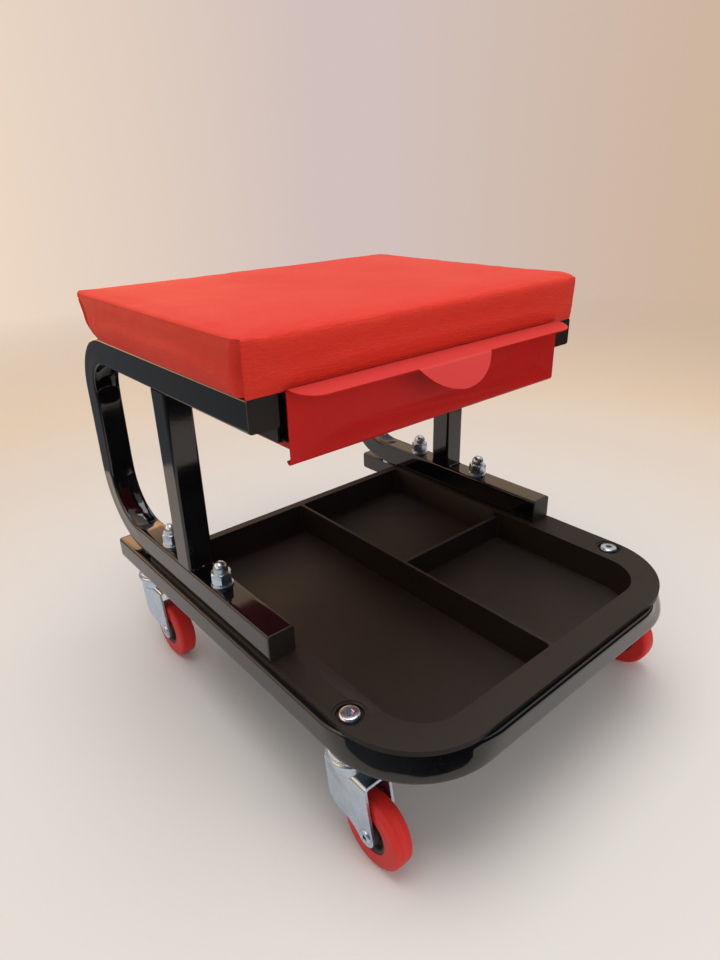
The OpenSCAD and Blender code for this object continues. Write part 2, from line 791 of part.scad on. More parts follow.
module slide() {
    color("#2a2b2e") difference() {
        union() {
            translate([pan_x, pan_y, slide_z + slide_h]) rotate([0, 180, 0])
                channel(slide_d, slide_h, sheet_t, slide_l);
            translate([pan_x + sheet_t / 2, slide_stop_y, stop_z])
                cube([slide_d - sheet_t / 2 - 2 * slide_gap, sheet_t, stop_h]);
        }
        sideHoles(rivet_ys, rivet_d / 2 + run_fit, pan_x - over, pan_x + sheet_t + over,
            runner_screw_z);
    }
}

module left_slide() { mirror([1, 0, 0]) slide(); }

module right_slide() { slide(); }

module slide_rivets() {
    color("#b7babf") {
        sideHoles(rivet_ys, rivet_d / 2, pan_x - sheet_t - rivet_head_h,
            pan_x + sheet_t + rivet_head_h, runner_screw_z);
        sideHoles(rivet_ys, rivet_head_d / 2, pan_x + sheet_t, pan_x + sheet_t + rivet_head_h,
            runner_screw_z);
        sideHoles(rivet_ys, rivet_head_d / 2 - run_fit, pan_x - sheet_t - rivet_head_h,
            pan_x - sheet_t, runner_screw_z);
    }
}

// Frame bolts: up through the base frame, the flange and the foot
head_h = 6.4;
washer_z = foot_top;
spring_z = washer_z + washer_t;
nut_z = spring_z + spring_t;
nut_hex_h = cap_nut_h / 2;
dome_in = 2;
dome_r = bolt_flats / 2 - dome_in;
nut_bore_h = cap_nut_h - dome_r / 2;

module atBolts(ys, z) {
    for (sx = [-1, 1], y = ys) translate([sx * side_x, y, z]) children();
}

module frame_bolts() {
    color("#b9bcc2") atBolts(bolt_ys, base_z) {
        translate([0, 0, -head_h]) intersection() {
            hexPrism(bolt_flats, head_h);
            cylinder(r1 = bolt_flats / 2, r2 = bolt_flats / 2 + head_h, h = head_h);
        }
        cylinder(d = bolt_d, h = nut_z + nut_bore_h - over - base_z);
    }
}

module flat_washers() {
    color("#c9ccd1") atBolts(bolt_ys, washer_z) difference() {
        cylinder(d = washer_d, h = washer_t);
        translate([0, 0, -over]) cylinder(r = bolt_hole_r, h = washer_t + 2 * over);
    }
}

spring_slit = 1.2;

module spring_washers() {
    color("#c9ccd1") atBolts(bolt_ys, spring_z) difference() {
        cylinder(d = bolt_flats, h = spring_t);
        translate([0, 0, -over]) cylinder(r = bolt_hole_r, h = spring_t + 2 * over);
        rotate([0, 0, 30]) translate([0, -spring_slit / 2, -over])
            cube([bolt_flats, spring_slit, spring_t + 2 * over]);
    }
}

module cap_nuts() {
    color("#d3d6da") atBolts(bolt_ys, nut_z) difference() {
        union() {
            intersection() {
                hexPrism(bolt_flats, nut_hex_h);
                cylinder(r1 = bolt_flats / 2 + nut_hex_h, r2 = bolt_flats / 2, h = nut_hex_h);
            }
            cylinder(r = dome_r, h = cap_nut_h - dome_r);
            translate([0, 0, cap_nut_h - dome_r]) sphere(r = dome_r);
        }
        translate([0, 0, -over]) cylinder(r = bolt_d / 2 + run_fit, h = nut_bore_h + over);
    }
}

// Casters
race_r = race_d / 2;
cap_top_in = 4;
cap_top_r = race_r - cap_top_in;
cap_step_h = 4;
cap_slope_h = 3;
cap_h = 10.5;
cap_sheet = 1.6;
ball_r = 2.3;
ball_gap = 0.15;
ball_count = 12;

// The balls run against the cone inside the upper race, in its [radius, height] section
cone_top = [cap_top_r - cap_sheet, -cap_step_h - cap_sheet / 2];
cone_low = [race_r - cap_sheet, -cap_step_h - cap_slope_h - cap_sheet / 2];
cone_run = (cone_low - cone_top) / norm(cone_low - cone_top);
ball_at = (cone_top + cone_low) / 2 + (ball_r + ball_gap) * [cone_run[1], -cone_run[0]];
ball_ring_r = ball_at[0];
ball_z = caster_h + ball_at[1];
fork_drop = 16.3;
fork_top = caster_h - fork_drop;
track_depth_share = 0.6;
collar_h = ball_z - track_depth_share * ball_r - fork_top;
lock_h = 7.5;
lock_gap = 0.4;
lock_collar_h = 2.5;
lock_collar_in = 0.9;
lock_z = fork_top - fork_t - lock_gap - lock_h;
button_gap = 0.1;
button_h = flange_t - button_gap;
button_dish = 2;
socket_d = 6;
socket_deep = 2.4;
axle_z = wheel_d / 2;
axle_r = 4;

// A caster bolt hangs from its button head and carries the whole caster
module casterBolt(head_z) {
    color("#c9ccd1") translate([0, 0, head_z]) difference() {
        union() {
            cylinder(d = button_d, h = button_h - button_dish);
            translate([0, 0, button_h - button_dish])
                cylinder(d1 = button_d, d2 = button_d - 3 * button_dish, h = button_dish);
            translate([0, 0, lock_z - head_z]) cylinder(d = bolt_d, h = head_z - lock_z);
        }
        translate([0, 0, button_h - socket_deep]) hexPrism(socket_d, socket_deep + over);
    }
}

module front_caster_bolts() {
    atBolts([caster_ys[0]], 0) casterBolt(flange_top - pocket_deep);
}

// The rear heads lie in the gap that the flange leaves under the feet
module rear_caster_bolts() {
    atBolts([caster_ys[1]], 0) casterBolt(base_top);
}

module caster_lock_nuts() {
    color("#b9bcc2") atBolts(caster_ys, lock_z) difference() {
        union() {
            translate([0, 0, lock_collar_h]) hexPrism(bolt_flats, lock_h - lock_collar_h);
            cylinder(r = bolt_flats / 2 - lock_collar_in, h = lock_collar_h);
        }
        translate([0, 0, -over]) cylinder(r = bolt_d / 2 + run_fit, h = lock_h + 2 * over);
    }
}

// Upper race: a stepped pressed cap under the base frame
module race() {
    bore_r = bolt_d / 2 + run_fit;
    color("#c5c9ce") translate([0, 0, caster_h]) rotate_extrude($fn = 64) polygon([
        [bore_r, 0], [cap_top_r, 0], [cap_top_r, -cap_step_h],
        [race_r, -cap_step_h - cap_slope_h], [race_r, -cap_h], [race_r - cap_sheet, -cap_h],
        cone_low, cone_top, [cap_top_r - cap_sheet, -cap_sheet], [bore_r, -cap_sheet]]);
}

module balls() {
    color("#d9dce0") translate([0, 0, ball_z]) for (i = [0:ball_count - 1])
        rotate([0, 0, 360 * i / ball_count]) translate([ball_ring_r, 0, 0])
            sphere(r = ball_r, $fn = 24);
}

// Fork: one pressed sheet, its top plate raised into a collar and its legs bent down
leg_end_r = 8.6;
lobe_r = 13;
lobe_y = 1;
lobe_drop = 31.5;
lobe_z = fork_top - lobe_drop;
leg_rear = 18;
notch_d = 3;
fold_r = 4;
collar_gap = 0.6;
collar_r = race_r - cap_sheet - collar_gap;

// Centre of the circle through p and q that bulges from their chord by a given depth
function arcCentre(p, q, deep) = let (half = norm(q - p) / 2, along = (q - p) / (2 * half))
    (p + q) / 2 + (half * half - deep * deep) / (2 * deep) * [along[1], -along[0]];

module forkSide() {
    lobe_low = [lobe_y, lobe_z - lobe_r];
    end_low = [-trail + leg_end_r * cos(45), axle_z - leg_end_r * sin(45)];
    notch = arcCentre(end_low, lobe_low, notch_d);
    difference() {
        union() {
            polygon([[-trail, fork_top], [leg_rear, fork_top], [lobe_y + lobe_r, lobe_z],
                lobe_low, end_low, [-trail - leg_end_r, axle_z]]);
            translate([-trail, axle_z]) circle(r = leg_end_r);
            translate([lobe_y, lobe_z]) circle(r = lobe_r);
        }
        translate(notch) circle(r = norm(notch - lobe_low), $fn = 96);
    }
}

module forkBlock(x, top, r) {
    rotate([90, 0, 0]) linear_extrude(4 * trail, center = true) {
        translate([-x, 0]) square([2 * x, top - r]);
        translate([-x + r, 0]) square([2 * (x - r), top]);
        for (sx = [-1, 1]) translate([sx * (x - r), top - r]) circle(r = r);
    }
}

module fork() {
    color("#c5c9ce") difference() {
        union() {
            intersection() {
                difference() {
                    forkBlock(fork_w / 2, fork_top, fold_r);
                    translate([0, 0, -over])
                        forkBlock(fork_w / 2 - fork_t, fork_top - fork_t + over, fold_r - fork_t);
                }
                rotate([90, 0, 90]) linear_extrude(2 * fork_w, center = true) forkSide();
            }
            translate([0, 0, fork_top - fork_t]) cylinder(r = collar_r, h = fork_t + collar_h);
        }
        translate([0, 0, fork_top - fork_t - over])
            cylinder(r = bolt_d / 2 + run_fit, h = 2 * fork_t + collar_h + 2 * over);
        translate([0, 0, ball_z]) rotate_extrude($fn = 64) translate([ball_ring_r, 0])
            circle(r = ball_r + run_fit);
        translate([0, -trail, axle_z]) rotate([0, 90, 0])
            cylinder(r = axle_r + run_fit, h = 2 * fork_w, center = true);
    }
}

axle_bore_r = 2.2;
axle_head_r = 6;
axle_head_h = 1.8;
bush_r = 6;
bush_gap = 0.1;
hub_in = 0.5;
hub_d = hub_share * wheel_d;
hub_w = tyre_w - 2 * hub_in;
hub_rim = 3;
hub_web_w = 6;
hub_boss_r = 9;
shoulder_r = 5;

module atAxle() {
    translate([0, -trail, axle_z]) rotate([0, 90, 0]) children();
}

module axle() {
    color("#aeb3b9") atAxle() difference() {
        union() {
            cylinder(r = axle_r, h = fork_w, center = true);
            for (sz = [0, 1]) mirror([0, 0, sz]) translate([0, 0, fork_w / 2])
                cylinder(r1 = axle_head_r, r2 = axle_head_r - axle_head_h / 2, h = axle_head_h);
        }
        cylinder(r = axle_bore_r, h = 2 * fork_w, center = true);
    }
}

module bush() {
    color("#8c9096") atAxle() difference() {
        cylinder(r = bush_r, h = fork_w - 2 * (fork_t + bush_gap), center = true);
        cylinder(r = axle_r + run_fit, h = 2 * fork_w, center = true);
    }
}

module hub() {
    boss_w = fork_w - 2 * (fork_t + 4 * bush_gap);
    color("#2d2e31") atAxle() rotate_extrude($fn = 64) {
        translate([bush_r + run_fit, -boss_w / 2]) square([hub_boss_r - bush_r - run_fit, boss_w]);
        translate([hub_boss_r - over, -hub_web_w / 2])
            square([hub_d / 2 - hub_rim - hub_boss_r + 2 * over, hub_web_w]);
        translate([hub_d / 2 - hub_rim, -hub_w / 2]) square([hub_rim, hub_w]);
    }
}

module tyre() {
    thick = (wheel_d - hub_d) / 2;
    color("#d8302b") atAxle() rotate_extrude($fn = 96) translate([hub_d / 2, 0]) {
        translate([0, -tyre_w / 2]) square([thick - shoulder_r, tyre_w]);
        translate([0, -tyre_w / 2 + shoulder_r]) square([thick, tyre_w - 2 * shoulder_r]);
        for (sy = [-1, 1]) translate([thick - shoulder_r, sy * (tyre_w / 2 - shoulder_r)])
            circle(r = shoulder_r);
    }
}

// Puts one caster piece at the front or rear, on the left or right
module at(side, end) {
    translate([side * side_x, caster_ys[end], 0]) children();
}

base_frame();
base_end_caps();
tray();
left_seat_frame_tube();
right_seat_frame_tube();
left_post();
right_post();
post_welds();
foot_end_caps();
arm_end_caps();
seat_board();
seat_foam();
seat_cover();
seat_screws();
seat_tee_nuts();
left_runner();
right_runner();
runner_screws();
drawer_pan();
drawer_front();
left_slide();
right_slide();
slide_rivets();
frame_bolts();
flat_washers();
spring_washers();
cap_nuts();
front_caster_bolts();
rear_caster_bolts();
caster_lock_nuts();
at(-1, 0) race();  // front_left_race
at(-1, 0) balls();  // front_left_balls
at(-1, 0) fork();  // front_left_fork
at(-1, 0) axle();  // front_left_axle
at(-1, 0) bush();  // front_left_bush
at(-1, 0) hub();  // front_left_hub
at(-1, 0) tyre();  // front_left_tyre
at(1, 0) race();  // front_right_race
at(1, 0) balls();  // front_right_balls
at(1, 0) fork();  // front_right_fork
at(1, 0) axle();  // front_right_axle
at(1, 0) bush();  // front_right_bush
at(1, 0) hub();  // front_right_hub
at(1, 0) tyre();  // front_right_tyre
at(-1, 1) race();  // rear_left_race
at(-1, 1) balls();  // rear_left_balls
at(-1, 1) fork();  // rear_left_fork
at(-1, 1) axle();  // rear_left_axle
at(-1, 1) bush();  // rear_left_bush
at(-1, 1) hub();  // rear_left_hub
at(-1, 1) tyre();  // rear_left_tyre
at(1, 1) race();  // rear_right_race
at(1, 1) balls();  // rear_right_balls
at(1, 1) fork();  // rear_right_fork
at(1, 1) axle();  // rear_right_axle
at(1, 1) bush();  // rear_right_bush
at(1, 1) hub();  // rear_right_hub
at(1, 1) tyre();  // rear_right_tyre
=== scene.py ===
import bpy
import bmesh
import json
import math
from mathutils import Matrix, Vector, noise


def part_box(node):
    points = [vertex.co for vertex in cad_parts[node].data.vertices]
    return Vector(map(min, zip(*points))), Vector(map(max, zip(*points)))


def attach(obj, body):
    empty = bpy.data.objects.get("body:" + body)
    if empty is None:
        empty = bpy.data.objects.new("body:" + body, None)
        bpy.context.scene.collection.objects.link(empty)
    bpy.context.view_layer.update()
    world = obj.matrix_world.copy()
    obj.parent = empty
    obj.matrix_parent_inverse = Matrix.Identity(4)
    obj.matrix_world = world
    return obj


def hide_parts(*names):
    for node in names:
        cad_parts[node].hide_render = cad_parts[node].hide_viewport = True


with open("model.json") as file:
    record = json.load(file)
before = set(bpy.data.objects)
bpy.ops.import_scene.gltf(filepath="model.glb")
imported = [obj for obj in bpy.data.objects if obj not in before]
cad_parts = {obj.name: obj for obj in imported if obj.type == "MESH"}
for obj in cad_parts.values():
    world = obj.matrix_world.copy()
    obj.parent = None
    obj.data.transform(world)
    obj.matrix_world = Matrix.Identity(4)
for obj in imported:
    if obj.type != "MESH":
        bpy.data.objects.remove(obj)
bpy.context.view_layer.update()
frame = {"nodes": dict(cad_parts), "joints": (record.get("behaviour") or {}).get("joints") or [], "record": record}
scene = bpy.context.scene
scene.view_settings.view_transform = "Standard"
jointAt = {joint["name"]: Vector(joint["pos_m"]) for joint in frame["joints"] if "pos_m" in joint}
print("frame: loaded", len(frame["nodes"]), "nodes")


# Camera at the photograph's own viewpoint, with angles in degrees
cameraPlan = {"place": (-0.3964, -0.4472, 0.4735), "turn": -39.86, "tilt": 24.68, "roll": -1.57,
              "focalPixels": 665.25, "frameHeight": 960, "sensor": 36.0, "clipStart": 0.01}


def addCamera():
    plan = cameraPlan
    turn, tilt, roll = (math.radians(plan[k]) for k in ("turn", "tilt", "roll"))
    back = Vector((math.sin(turn) * math.cos(tilt), -math.cos(turn) * math.cos(tilt), math.sin(tilt)))
    right = (-back).cross(Vector((0, 0, 1))).normalized()
    up = right.cross(-back)
    rolledRight = right * math.cos(roll) + up * math.sin(roll)
    rolledUp = up * math.cos(roll) - right * math.sin(roll)
    data = bpy.data.cameras.new("photoCamera")
    data.sensor_fit = "AUTO"
    data.sensor_width = plan["sensor"]
    data.lens = plan["sensor"] * plan["focalPixels"] / plan["frameHeight"]
    data.clip_start = plan["clipStart"]
    camera = bpy.data.objects.new("photoCamera", data)
    camera.matrix_world = Matrix.LocRotScale(
        Vector(plan["place"]), Matrix((rolledRight, rolledUp, back)).transposed(), None)
    scene.collection.objects.link(camera)
    scene.camera = camera


addCamera()
print("camera: set")


# Short forms for shader nodes
def emptyTree(owner):
    owner.use_nodes = True
    owner.node_tree.nodes.clear()
    return owner.node_tree


def newGroup(name, numbers, masks):
    # every group takes a place and gives a normal, beside its own numbers and masks
    tree = bpy.data.node_groups.new(name, "ShaderNodeTree")
    tree.interface.new_socket("Vector", in_out="INPUT", socket_type="NodeSocketVector")
    for label, value in numbers.items():
        tree.interface.new_socket(label, in_out="INPUT", socket_type="NodeSocketFloat").default_value = value
    tree.interface.new_socket("Normal", in_out="OUTPUT", socket_type="NodeSocketVector")
    for label in masks:
        tree.interface.new_socket(label, in_out="OUTPUT", socket_type="NodeSocketFloat")
    start = tree.nodes.new("NodeGroupInput")
    end = tree.nodes.new("NodeGroupOutput")
    return tree, start.outputs, end.inputs


def addNode(tree, kind, links=(), **settings):
    # links gives each input its source, which is another node's socket or a fixed value
    node = tree.nodes.new(kind)
    for key, value in settings.items():
        setattr(node, key, value)
    for socket, source in dict(links).items():
        if isinstance(source, bpy.types.NodeSocket):
            tree.links.new(source, node.inputs[socket])
        else:
            node.inputs[socket].default_value = source
    return node


def addMath(tree, operation, a, b=0.0):
    return addNode(tree, "ShaderNodeMath", {0: a, 1: b}, operation=operation).outputs[0]


def addProduct(tree, a, b):
    return addMath(tree, "MULTIPLY", a, b)


def addVectorMath(tree, operation, a, b):
    return addNode(tree, "ShaderNodeVectorMath", {0: a, 1: b}, operation=operation).outputs[0]


def addRange(tree, value, low, high, outLow=0.0, outHigh=1.0):
    return addNode(tree, "ShaderNodeMapRange", {0: value, 1: low, 2: high, 3: outLow, 4: outHigh}).outputs[0]


def addNoise(tree, vector, scale, detail=3.0, roughness=0.5):
    return addNode(tree, "ShaderNodeTexNoise", {"Vector": vector, "Scale": scale, "Detail": detail,
                                                "Roughness": roughness}).outputs["Fac"]


def addBump(tree, height, **normal):
    links = {"Strength": 1.0, "Distance": 1.0, "Height": height, **normal}
    return addNode(tree, "ShaderNodeBump", links).outputs[0]


def addApart(tree, vector):
    return addNode(tree, "ShaderNodeSeparateXYZ", {0: vector}).outputs


def mixColours(tree, factor, a, b):
    node = addNode(tree, "ShaderNodeMix", data_type="RGBA")
    tree.links.new(factor, node.inputs["Factor"])
    colourSockets = [s for s in node.inputs if s.type == "RGBA"]
    for socket, colour in zip(colourSockets, (a, b)):
        if isinstance(colour, bpy.types.NodeSocket):
            tree.links.new(colour, socket)
        else:
            socket.default_value = (*colour, 1.0)
    return [s for s in node.outputs if s.type == "RGBA"][0]


# Shader groups shared by the materials
lacquerSkinPlan = {"smudgeScale": 14.0, "smudge": (0.35, 0.7), "speckScale": 900.0,
                   "speck": (0.62, 0.74), "patchScale": 22.0, "patch": (0.45, 0.75)}


def buildLacquerSkin():
    # ripple of sprayed paint, with a mask of soft smudges and one of fine dust specks
    plan = lacquerSkinPlan
    tree, given, out = newGroup("lacquerSkin", {"Ripple Scale": 260.0, "Ripple Depth": 0.00002},
                                ("Smudge", "Dust"))
    place = given["Vector"]
    ripple = addProduct(tree, addNoise(tree, place, given["Ripple Scale"], 2.0), given["Ripple Depth"])
    tree.links.new(addBump(tree, ripple), out["Normal"])
    smudge = addNoise(tree, place, plan["smudgeScale"], 5.0, 0.6)
    tree.links.new(addRange(tree, smudge, *plan["smudge"]), out["Smudge"])
    specks = addRange(tree, addNoise(tree, place, plan["speckScale"], 2.0, 0.7), *plan["speck"])
    patches = addRange(tree, addNoise(tree, place, plan["patchScale"], 4.0), *plan["patch"])
    tree.links.new(addProduct(tree, specks, patches), out["Dust"])
    return tree


pebbleGrainPlan = {"warpScale": 90.0, "warp": (0.004, 0.004, 0.004), "creaseWidth": 0.22, "softScale": 1500.0,
                   "softShare": 0.25, "driftScale": 9.0, "drift": (0.3, 0.7)}


def buildPebbleGrain():
    # small rounded cells with creases between them, as on vinyl and moulded plastic
    plan = pebbleGrainPlan
    tree, given, out = newGroup("pebbleGrain", {"Cell Scale": 700.0, "Depth": 0.0002, "Stretch": 1.0},
                                ("Crease", "Drift"))
    place = given["Vector"]
    warp = addNode(tree, "ShaderNodeTexNoise", {"Vector": place, "Scale": plan["warpScale"], "Detail": 2.0})
    shift = addVectorMath(tree, "MULTIPLY", warp.outputs["Color"], plan["warp"])
    flat = addNode(tree, "ShaderNodeCombineXYZ", {0: 1.0, 1: 1.0, 2: given["Stretch"]}).outputs[0]
    drawn = addVectorMath(tree, "MULTIPLY", addVectorMath(tree, "ADD", place, shift), flat)
    cells = addNode(tree, "ShaderNodeTexVoronoi", {"Vector": drawn, "Scale": given["Cell Scale"]},
                    feature="DISTANCE_TO_EDGE")
    crease = addRange(tree, cells.outputs["Distance"], 0.0, plan["creaseWidth"])
    soft = addProduct(tree, addNoise(tree, place, plan["softScale"], 2.0), plan["softShare"])
    height = addProduct(tree, addMath(tree, "ADD", crease, soft), given["Depth"])
    tree.links.new(addBump(tree, height), out["Normal"])
    tree.links.new(crease, out["Crease"])
    drift = addNoise(tree, place, plan["driftScale"], 4.0)
    tree.links.new(addRange(tree, drift, *plan["drift"]), out["Drift"])
    return tree


platedSteelPlan = {"cloud": (0.3, 0.7), "tintScale": 25.0, "tint": (0.4, 0.7), "draw": (1.0, 1.0, 0.08),
                   "lineScale": 1800.0}


def buildPlatedSteel():
    # cloudy tone of zinc plate, with fine draw lines in the sheet
    plan = platedSteelPlan
    tree, given, out = newGroup("platedSteel", {"Cloud Scale": 60.0, "Line Depth": 0.00001}, ("Cloud", "Tint"))
    place = given["Vector"]
    cloud = addNoise(tree, place, given["Cloud Scale"], 6.0, 0.65)
    tree.links.new(addRange(tree, cloud, *plan["cloud"]), out["Cloud"])
    tint = addNoise(tree, place, plan["tintScale"], 3.0)
    tree.links.new(addRange(tree, tint, *plan["tint"]), out["Tint"])
    lines = addNoise(tree, addVectorMath(tree, "MULTIPLY", place, plan["draw"]), plan["lineScale"], 3.0, 0.6)
    tree.links.new(addBump(tree, addProduct(tree, lines, given["Line Depth"])), out["Normal"])
    return tree


woodGrainPlan = {"stretch": (40.0, 3.0, 40.0), "rings": (0.3, 0.7), "depth": 0.0002}


def buildWoodGrain():
    plan = woodGrainPlan
    tree, given, out = newGroup("woodGrain", {}, ("Rings",))
    rings = addNoise(tree, addVectorMath(tree, "MULTIPLY", given["Vector"], plan["stretch"]), 1.0, 6.0, 0.65)
    tree.links.new(addRange(tree, rings, *plan["rings"]), out["Rings"])
    tree.links.new(addBump(tree, addProduct(tree, rings, plan["depth"])), out["Normal"])
    return tree


lacquerSkin = buildLacquerSkin()
pebbleGrain = buildPebbleGrain()
platedSteel = buildPlatedSteel()
woodGrain = buildWoodGrain()
print("shader groups: built")


# Materials, one for each finish
dustColour = (0.45, 0.42, 0.4)
creaseShade = 0.4      # tone of a crease in moulded plastic, as a share of the plastic's own: a painted shade in the grain's creases
upwardRange = (0.10, 0.45)      # vertical share of a normal from which a face counts as looking up, where painted sheen and painted shade are laid


def startMaterial(name):
    material = bpy.data.materials.new(name)
    tree = emptyTree(material)
    shader = addNode(tree, "ShaderNodeBsdfPrincipled")
    addNode(tree, "ShaderNodeOutputMaterial", {0: shader.outputs[0]})
    place = addNode(tree, "ShaderNodeTexCoord").outputs["Object"]
    return material, tree, shader, place


def addGroup(tree, group, links):
    return addNode(tree, "ShaderNodeGroup", links, node_tree=group).outputs


def addUpward(tree):
    facing = addApart(tree, addNode(tree, "ShaderNodeNewGeometry").outputs["Normal"])
    return addRange(tree, facing["Z"], *upwardRange)


def setShader(tree, shader, plan, colour, cloud, normal):
    tree.links.new(colour, shader.inputs["Base Color"])
    tree.links.new(addRange(tree, cloud, 0.0, 1.0, *plan["roughness"]), shader.inputs["Roughness"])
    tree.links.new(normal, shader.inputs["Normal"])


def paintMaterial(name, plan):
    # sprayed paint: faces that look up take a lighter tone of their own, a painted sheen (none where that tone is
    # the paint's colour)
    material, tree, shader, place = startMaterial(name)
    skin = addGroup(tree, lacquerSkin, {"Vector": place, "Ripple Scale": plan["rippleScale"],
                                        "Ripple Depth": plan["rippleDepth"]})
    tone = mixColours(tree, skin["Smudge"], plan["colour"], plan["drift"])
    # painted sheen on faces that look up
    tone = mixColours(tree, addUpward(tree), tone, plan["upwardSheen"])
    dusted = mixColours(tree, addProduct(tree, skin["Dust"], plan["dust"]), tone, dustColour)
    setShader(tree, shader, plan, dusted, skin["Smudge"], skin["Normal"])
    shader.inputs["Specular IOR Level"].default_value = plan["specular"]
    return material


def mouldedMaterial(name, plan):
    # moulded plastic or rubber: vertical faces take a darker tone of their own, a painted shade (none where that
    # tone is the plastic's colour), and the grain's creases take a painted shade too
    material, tree, shader, place = startMaterial(name)
    grain = addGroup(tree, pebbleGrain, {"Vector": place, "Cell Scale": plan["cells"], "Depth": plan["depth"]})
    tone = mixColours(tree, grain["Drift"], plan["colour"], plan["drift"])
    # painted shade on vertical faces, as on the walls of the tray's wells
    tone = mixColours(tree, addUpward(tree), plan["uprightShade"], tone)
    # painted shade in the grain's creases
    grainShaded = mixColours(tree, addRange(tree, grain["Crease"], 0.0, 1.0, plan["creaseDark"], 0.0), tone,
                      [creaseShade * c for c in plan["colour"]])
    setShader(tree, shader, plan, grainShaded, grain["Drift"], grain["Normal"])
    shader.inputs["Specular IOR Level"].default_value = plan["specular"]
    return material


def metalMaterial(name, plan):
    material, tree, shader, place = startMaterial(name)
    plate = addGroup(tree, platedSteel, {"Vector": place, "Cloud Scale": plan["clouds"],
                                         "Line Depth": plan["lines"]})
    tone = mixColours(tree, plate["Cloud"], plan["colour"], plan["drift"])
    tinted = mixColours(tree, addProduct(tree, plate["Tint"], plan["tintShare"]), tone, plan["tint"])
    setShader(tree, shader, plan, tinted, plate["Cloud"], plate["Normal"])
    shader.inputs["Metallic"].default_value = 1.0
    return material


def vinylMaterial(name, plan):
    # grained vinyl, with the level pull marks that show most on its front face
    material, tree, shader, place = startMaterial(name)
    grain = addGroup(tree, pebbleGrain, {"Vector": place, "Cell Scale": plan["cells"], "Depth": plan["depth"],
                                         "Stretch": plan["stretch"]})
    tone = mixColours(tree, grain["Drift"], plan["colour"], plan["drift"])
    # painted shade in the grain's creases
    creased = mixColours(tree, addRange(tree, grain["Crease"], 0.0, 1.0, plan["creaseDark"], 0.0), tone,
                         plan["crease"])
    streaks = addNoise(tree, addVectorMath(tree, "MULTIPLY", place, plan["streaks"]), 1.0, 3.0, 0.6)
    front = addRange(tree, addApart(tree, place)["Y"], *plan["streakFront"], 1.0, plan["streakElsewhere"])
    height = addProduct(tree, addProduct(tree, streaks, front), plan["streakDepth"])
    setShader(tree, shader, plan, creased, grain["Drift"], addBump(tree, height, Normal=grain["Normal"]))
    shader.inputs["Specular IOR Level"].default_value = plan["specular"]
    return material


def woodMaterial(name, plan):
    material, tree, shader, place = startMaterial(name)
    grain = addGroup(tree, woodGrain, {"Vector": place})
    tree.links.new(mixColours(tree, grain["Rings"], plan["colour"], plan["drift"]), shader.inputs["Base Color"])
    tree.links.new(grain["Normal"], shader.inputs["Normal"])
    shader.inputs["Roughness"].default_value = plan["roughness"]
    return material


glossBlackPlan = {"colour": (0.0032, 0.0034, 0.0042), "drift": (0.005, 0.005, 0.0055),
                  "upwardSheen": (0.0032, 0.0034, 0.0042), "roughness": (0.06, 0.12), "rippleScale": 420.0,
                  "rippleDepth": 0.000012, "dust": 0.08, "specular": 0.65}
# the drawer's tone for faces that look up is a painted sheen on its lip and other such faces
drawerRedPlan = {"colour": (0.49, 0.009, 0.008), "drift": (0.43, 0.007, 0.007), "upwardSheen": (0.60, 0.050, 0.048),
                 "roughness": (0.30, 0.40), "rippleScale": 300.0, "rippleDepth": 0.00002, "dust": 0.04,
                 "specular": 0.16}
runnerPlan = {"colour": (0.006, 0.006, 0.007), "drift": (0.010, 0.010, 0.010), "upwardSheen": (0.006, 0.006, 0.007),
              "roughness": (0.28, 0.38), "rippleScale": 300.0, "rippleDepth": 0.00002, "dust": 0.1,
              "specular": 0.4}
# the tray's tone for vertical faces is a painted shade on the walls of its wells
trayPlan = {"colour": (0.0200, 0.0128, 0.0100), "drift": (0.0155, 0.0100, 0.0077),
            "uprightShade": (0.0084, 0.005376, 0.0042), "roughness": (0.46, 0.56), "cells": 1400.0, "depth": 0.00004,
            "creaseDark": 0.2, "specular": 0.28}
capPlan = {"colour": (0.0150, 0.0118, 0.0105), "drift": (0.018, 0.014, 0.012),
           "uprightShade": (0.0150, 0.0118, 0.0105), "roughness": (0.38, 0.48), "cells": 1600.0,
           "depth": 0.00003, "creaseDark": 0.2, "specular": 0.4}
hubPlan = {"colour": (0.020, 0.021, 0.023), "drift": (0.028, 0.028, 0.030), "uprightShade": (0.020, 0.021, 0.023),
           "roughness": (0.38, 0.5), "cells": 1800.0, "depth": 0.00003, "creaseDark": 0.2, "specular": 0.4}
tyrePlan = {"colour": (0.62, 0.022, 0.018), "drift": (0.55, 0.018, 0.015), "uprightShade": (0.62, 0.022, 0.018),
            "roughness": (0.42, 0.54), "cells": 900.0, "depth": 0.00002, "creaseDark": 0.05, "specular": 0.3}
foamPlan = {"colour": (0.80, 0.72, 0.48), "drift": (0.74, 0.66, 0.42), "uprightShade": (0.80, 0.72, 0.48),
            "roughness": (0.8, 0.9), "cells": 900.0, "depth": 0.0003, "creaseDark": 0.4, "specular": 0.3}
zincPlan = {"colour": (0.54, 0.68, 0.84), "drift": (0.43, 0.54, 0.67), "roughness": (0.22, 0.38),
            "clouds": 60.0, "lines": 0.000006, "tint": (0.70, 0.62, 0.46), "tintShare": 0.22}
bearingPlan = {"colour": (0.60, 0.60, 0.61), "drift": (0.48, 0.48, 0.50), "roughness": (0.14, 0.25),
               "clouds": 120.0, "lines": 0.000003, "tint": (0.5, 0.45, 0.36), "tintShare": 0.2}
# the vinyl's crease tone is a painted shade in the grain's creases
vinylPlan = {"colour": (0.72, 0.040, 0.024), "drift": (0.68, 0.036, 0.021), "crease": (0.50, 0.020, 0.012),
             "creaseDark": 0.35, "roughness": (0.46, 0.56), "cells": 620.0, "depth": 0.00010, "stretch": 1.8,
             "streaks": (95.0, 95.0, 620.0), "streakDepth": 0.0011, "streakFront": (-0.078, -0.064),
             "streakElsewhere": 0.2, "specular": 0.15}
boardPlan = {"colour": (0.50, 0.33, 0.17), "drift": (0.36, 0.22, 0.11), "roughness": 0.7}

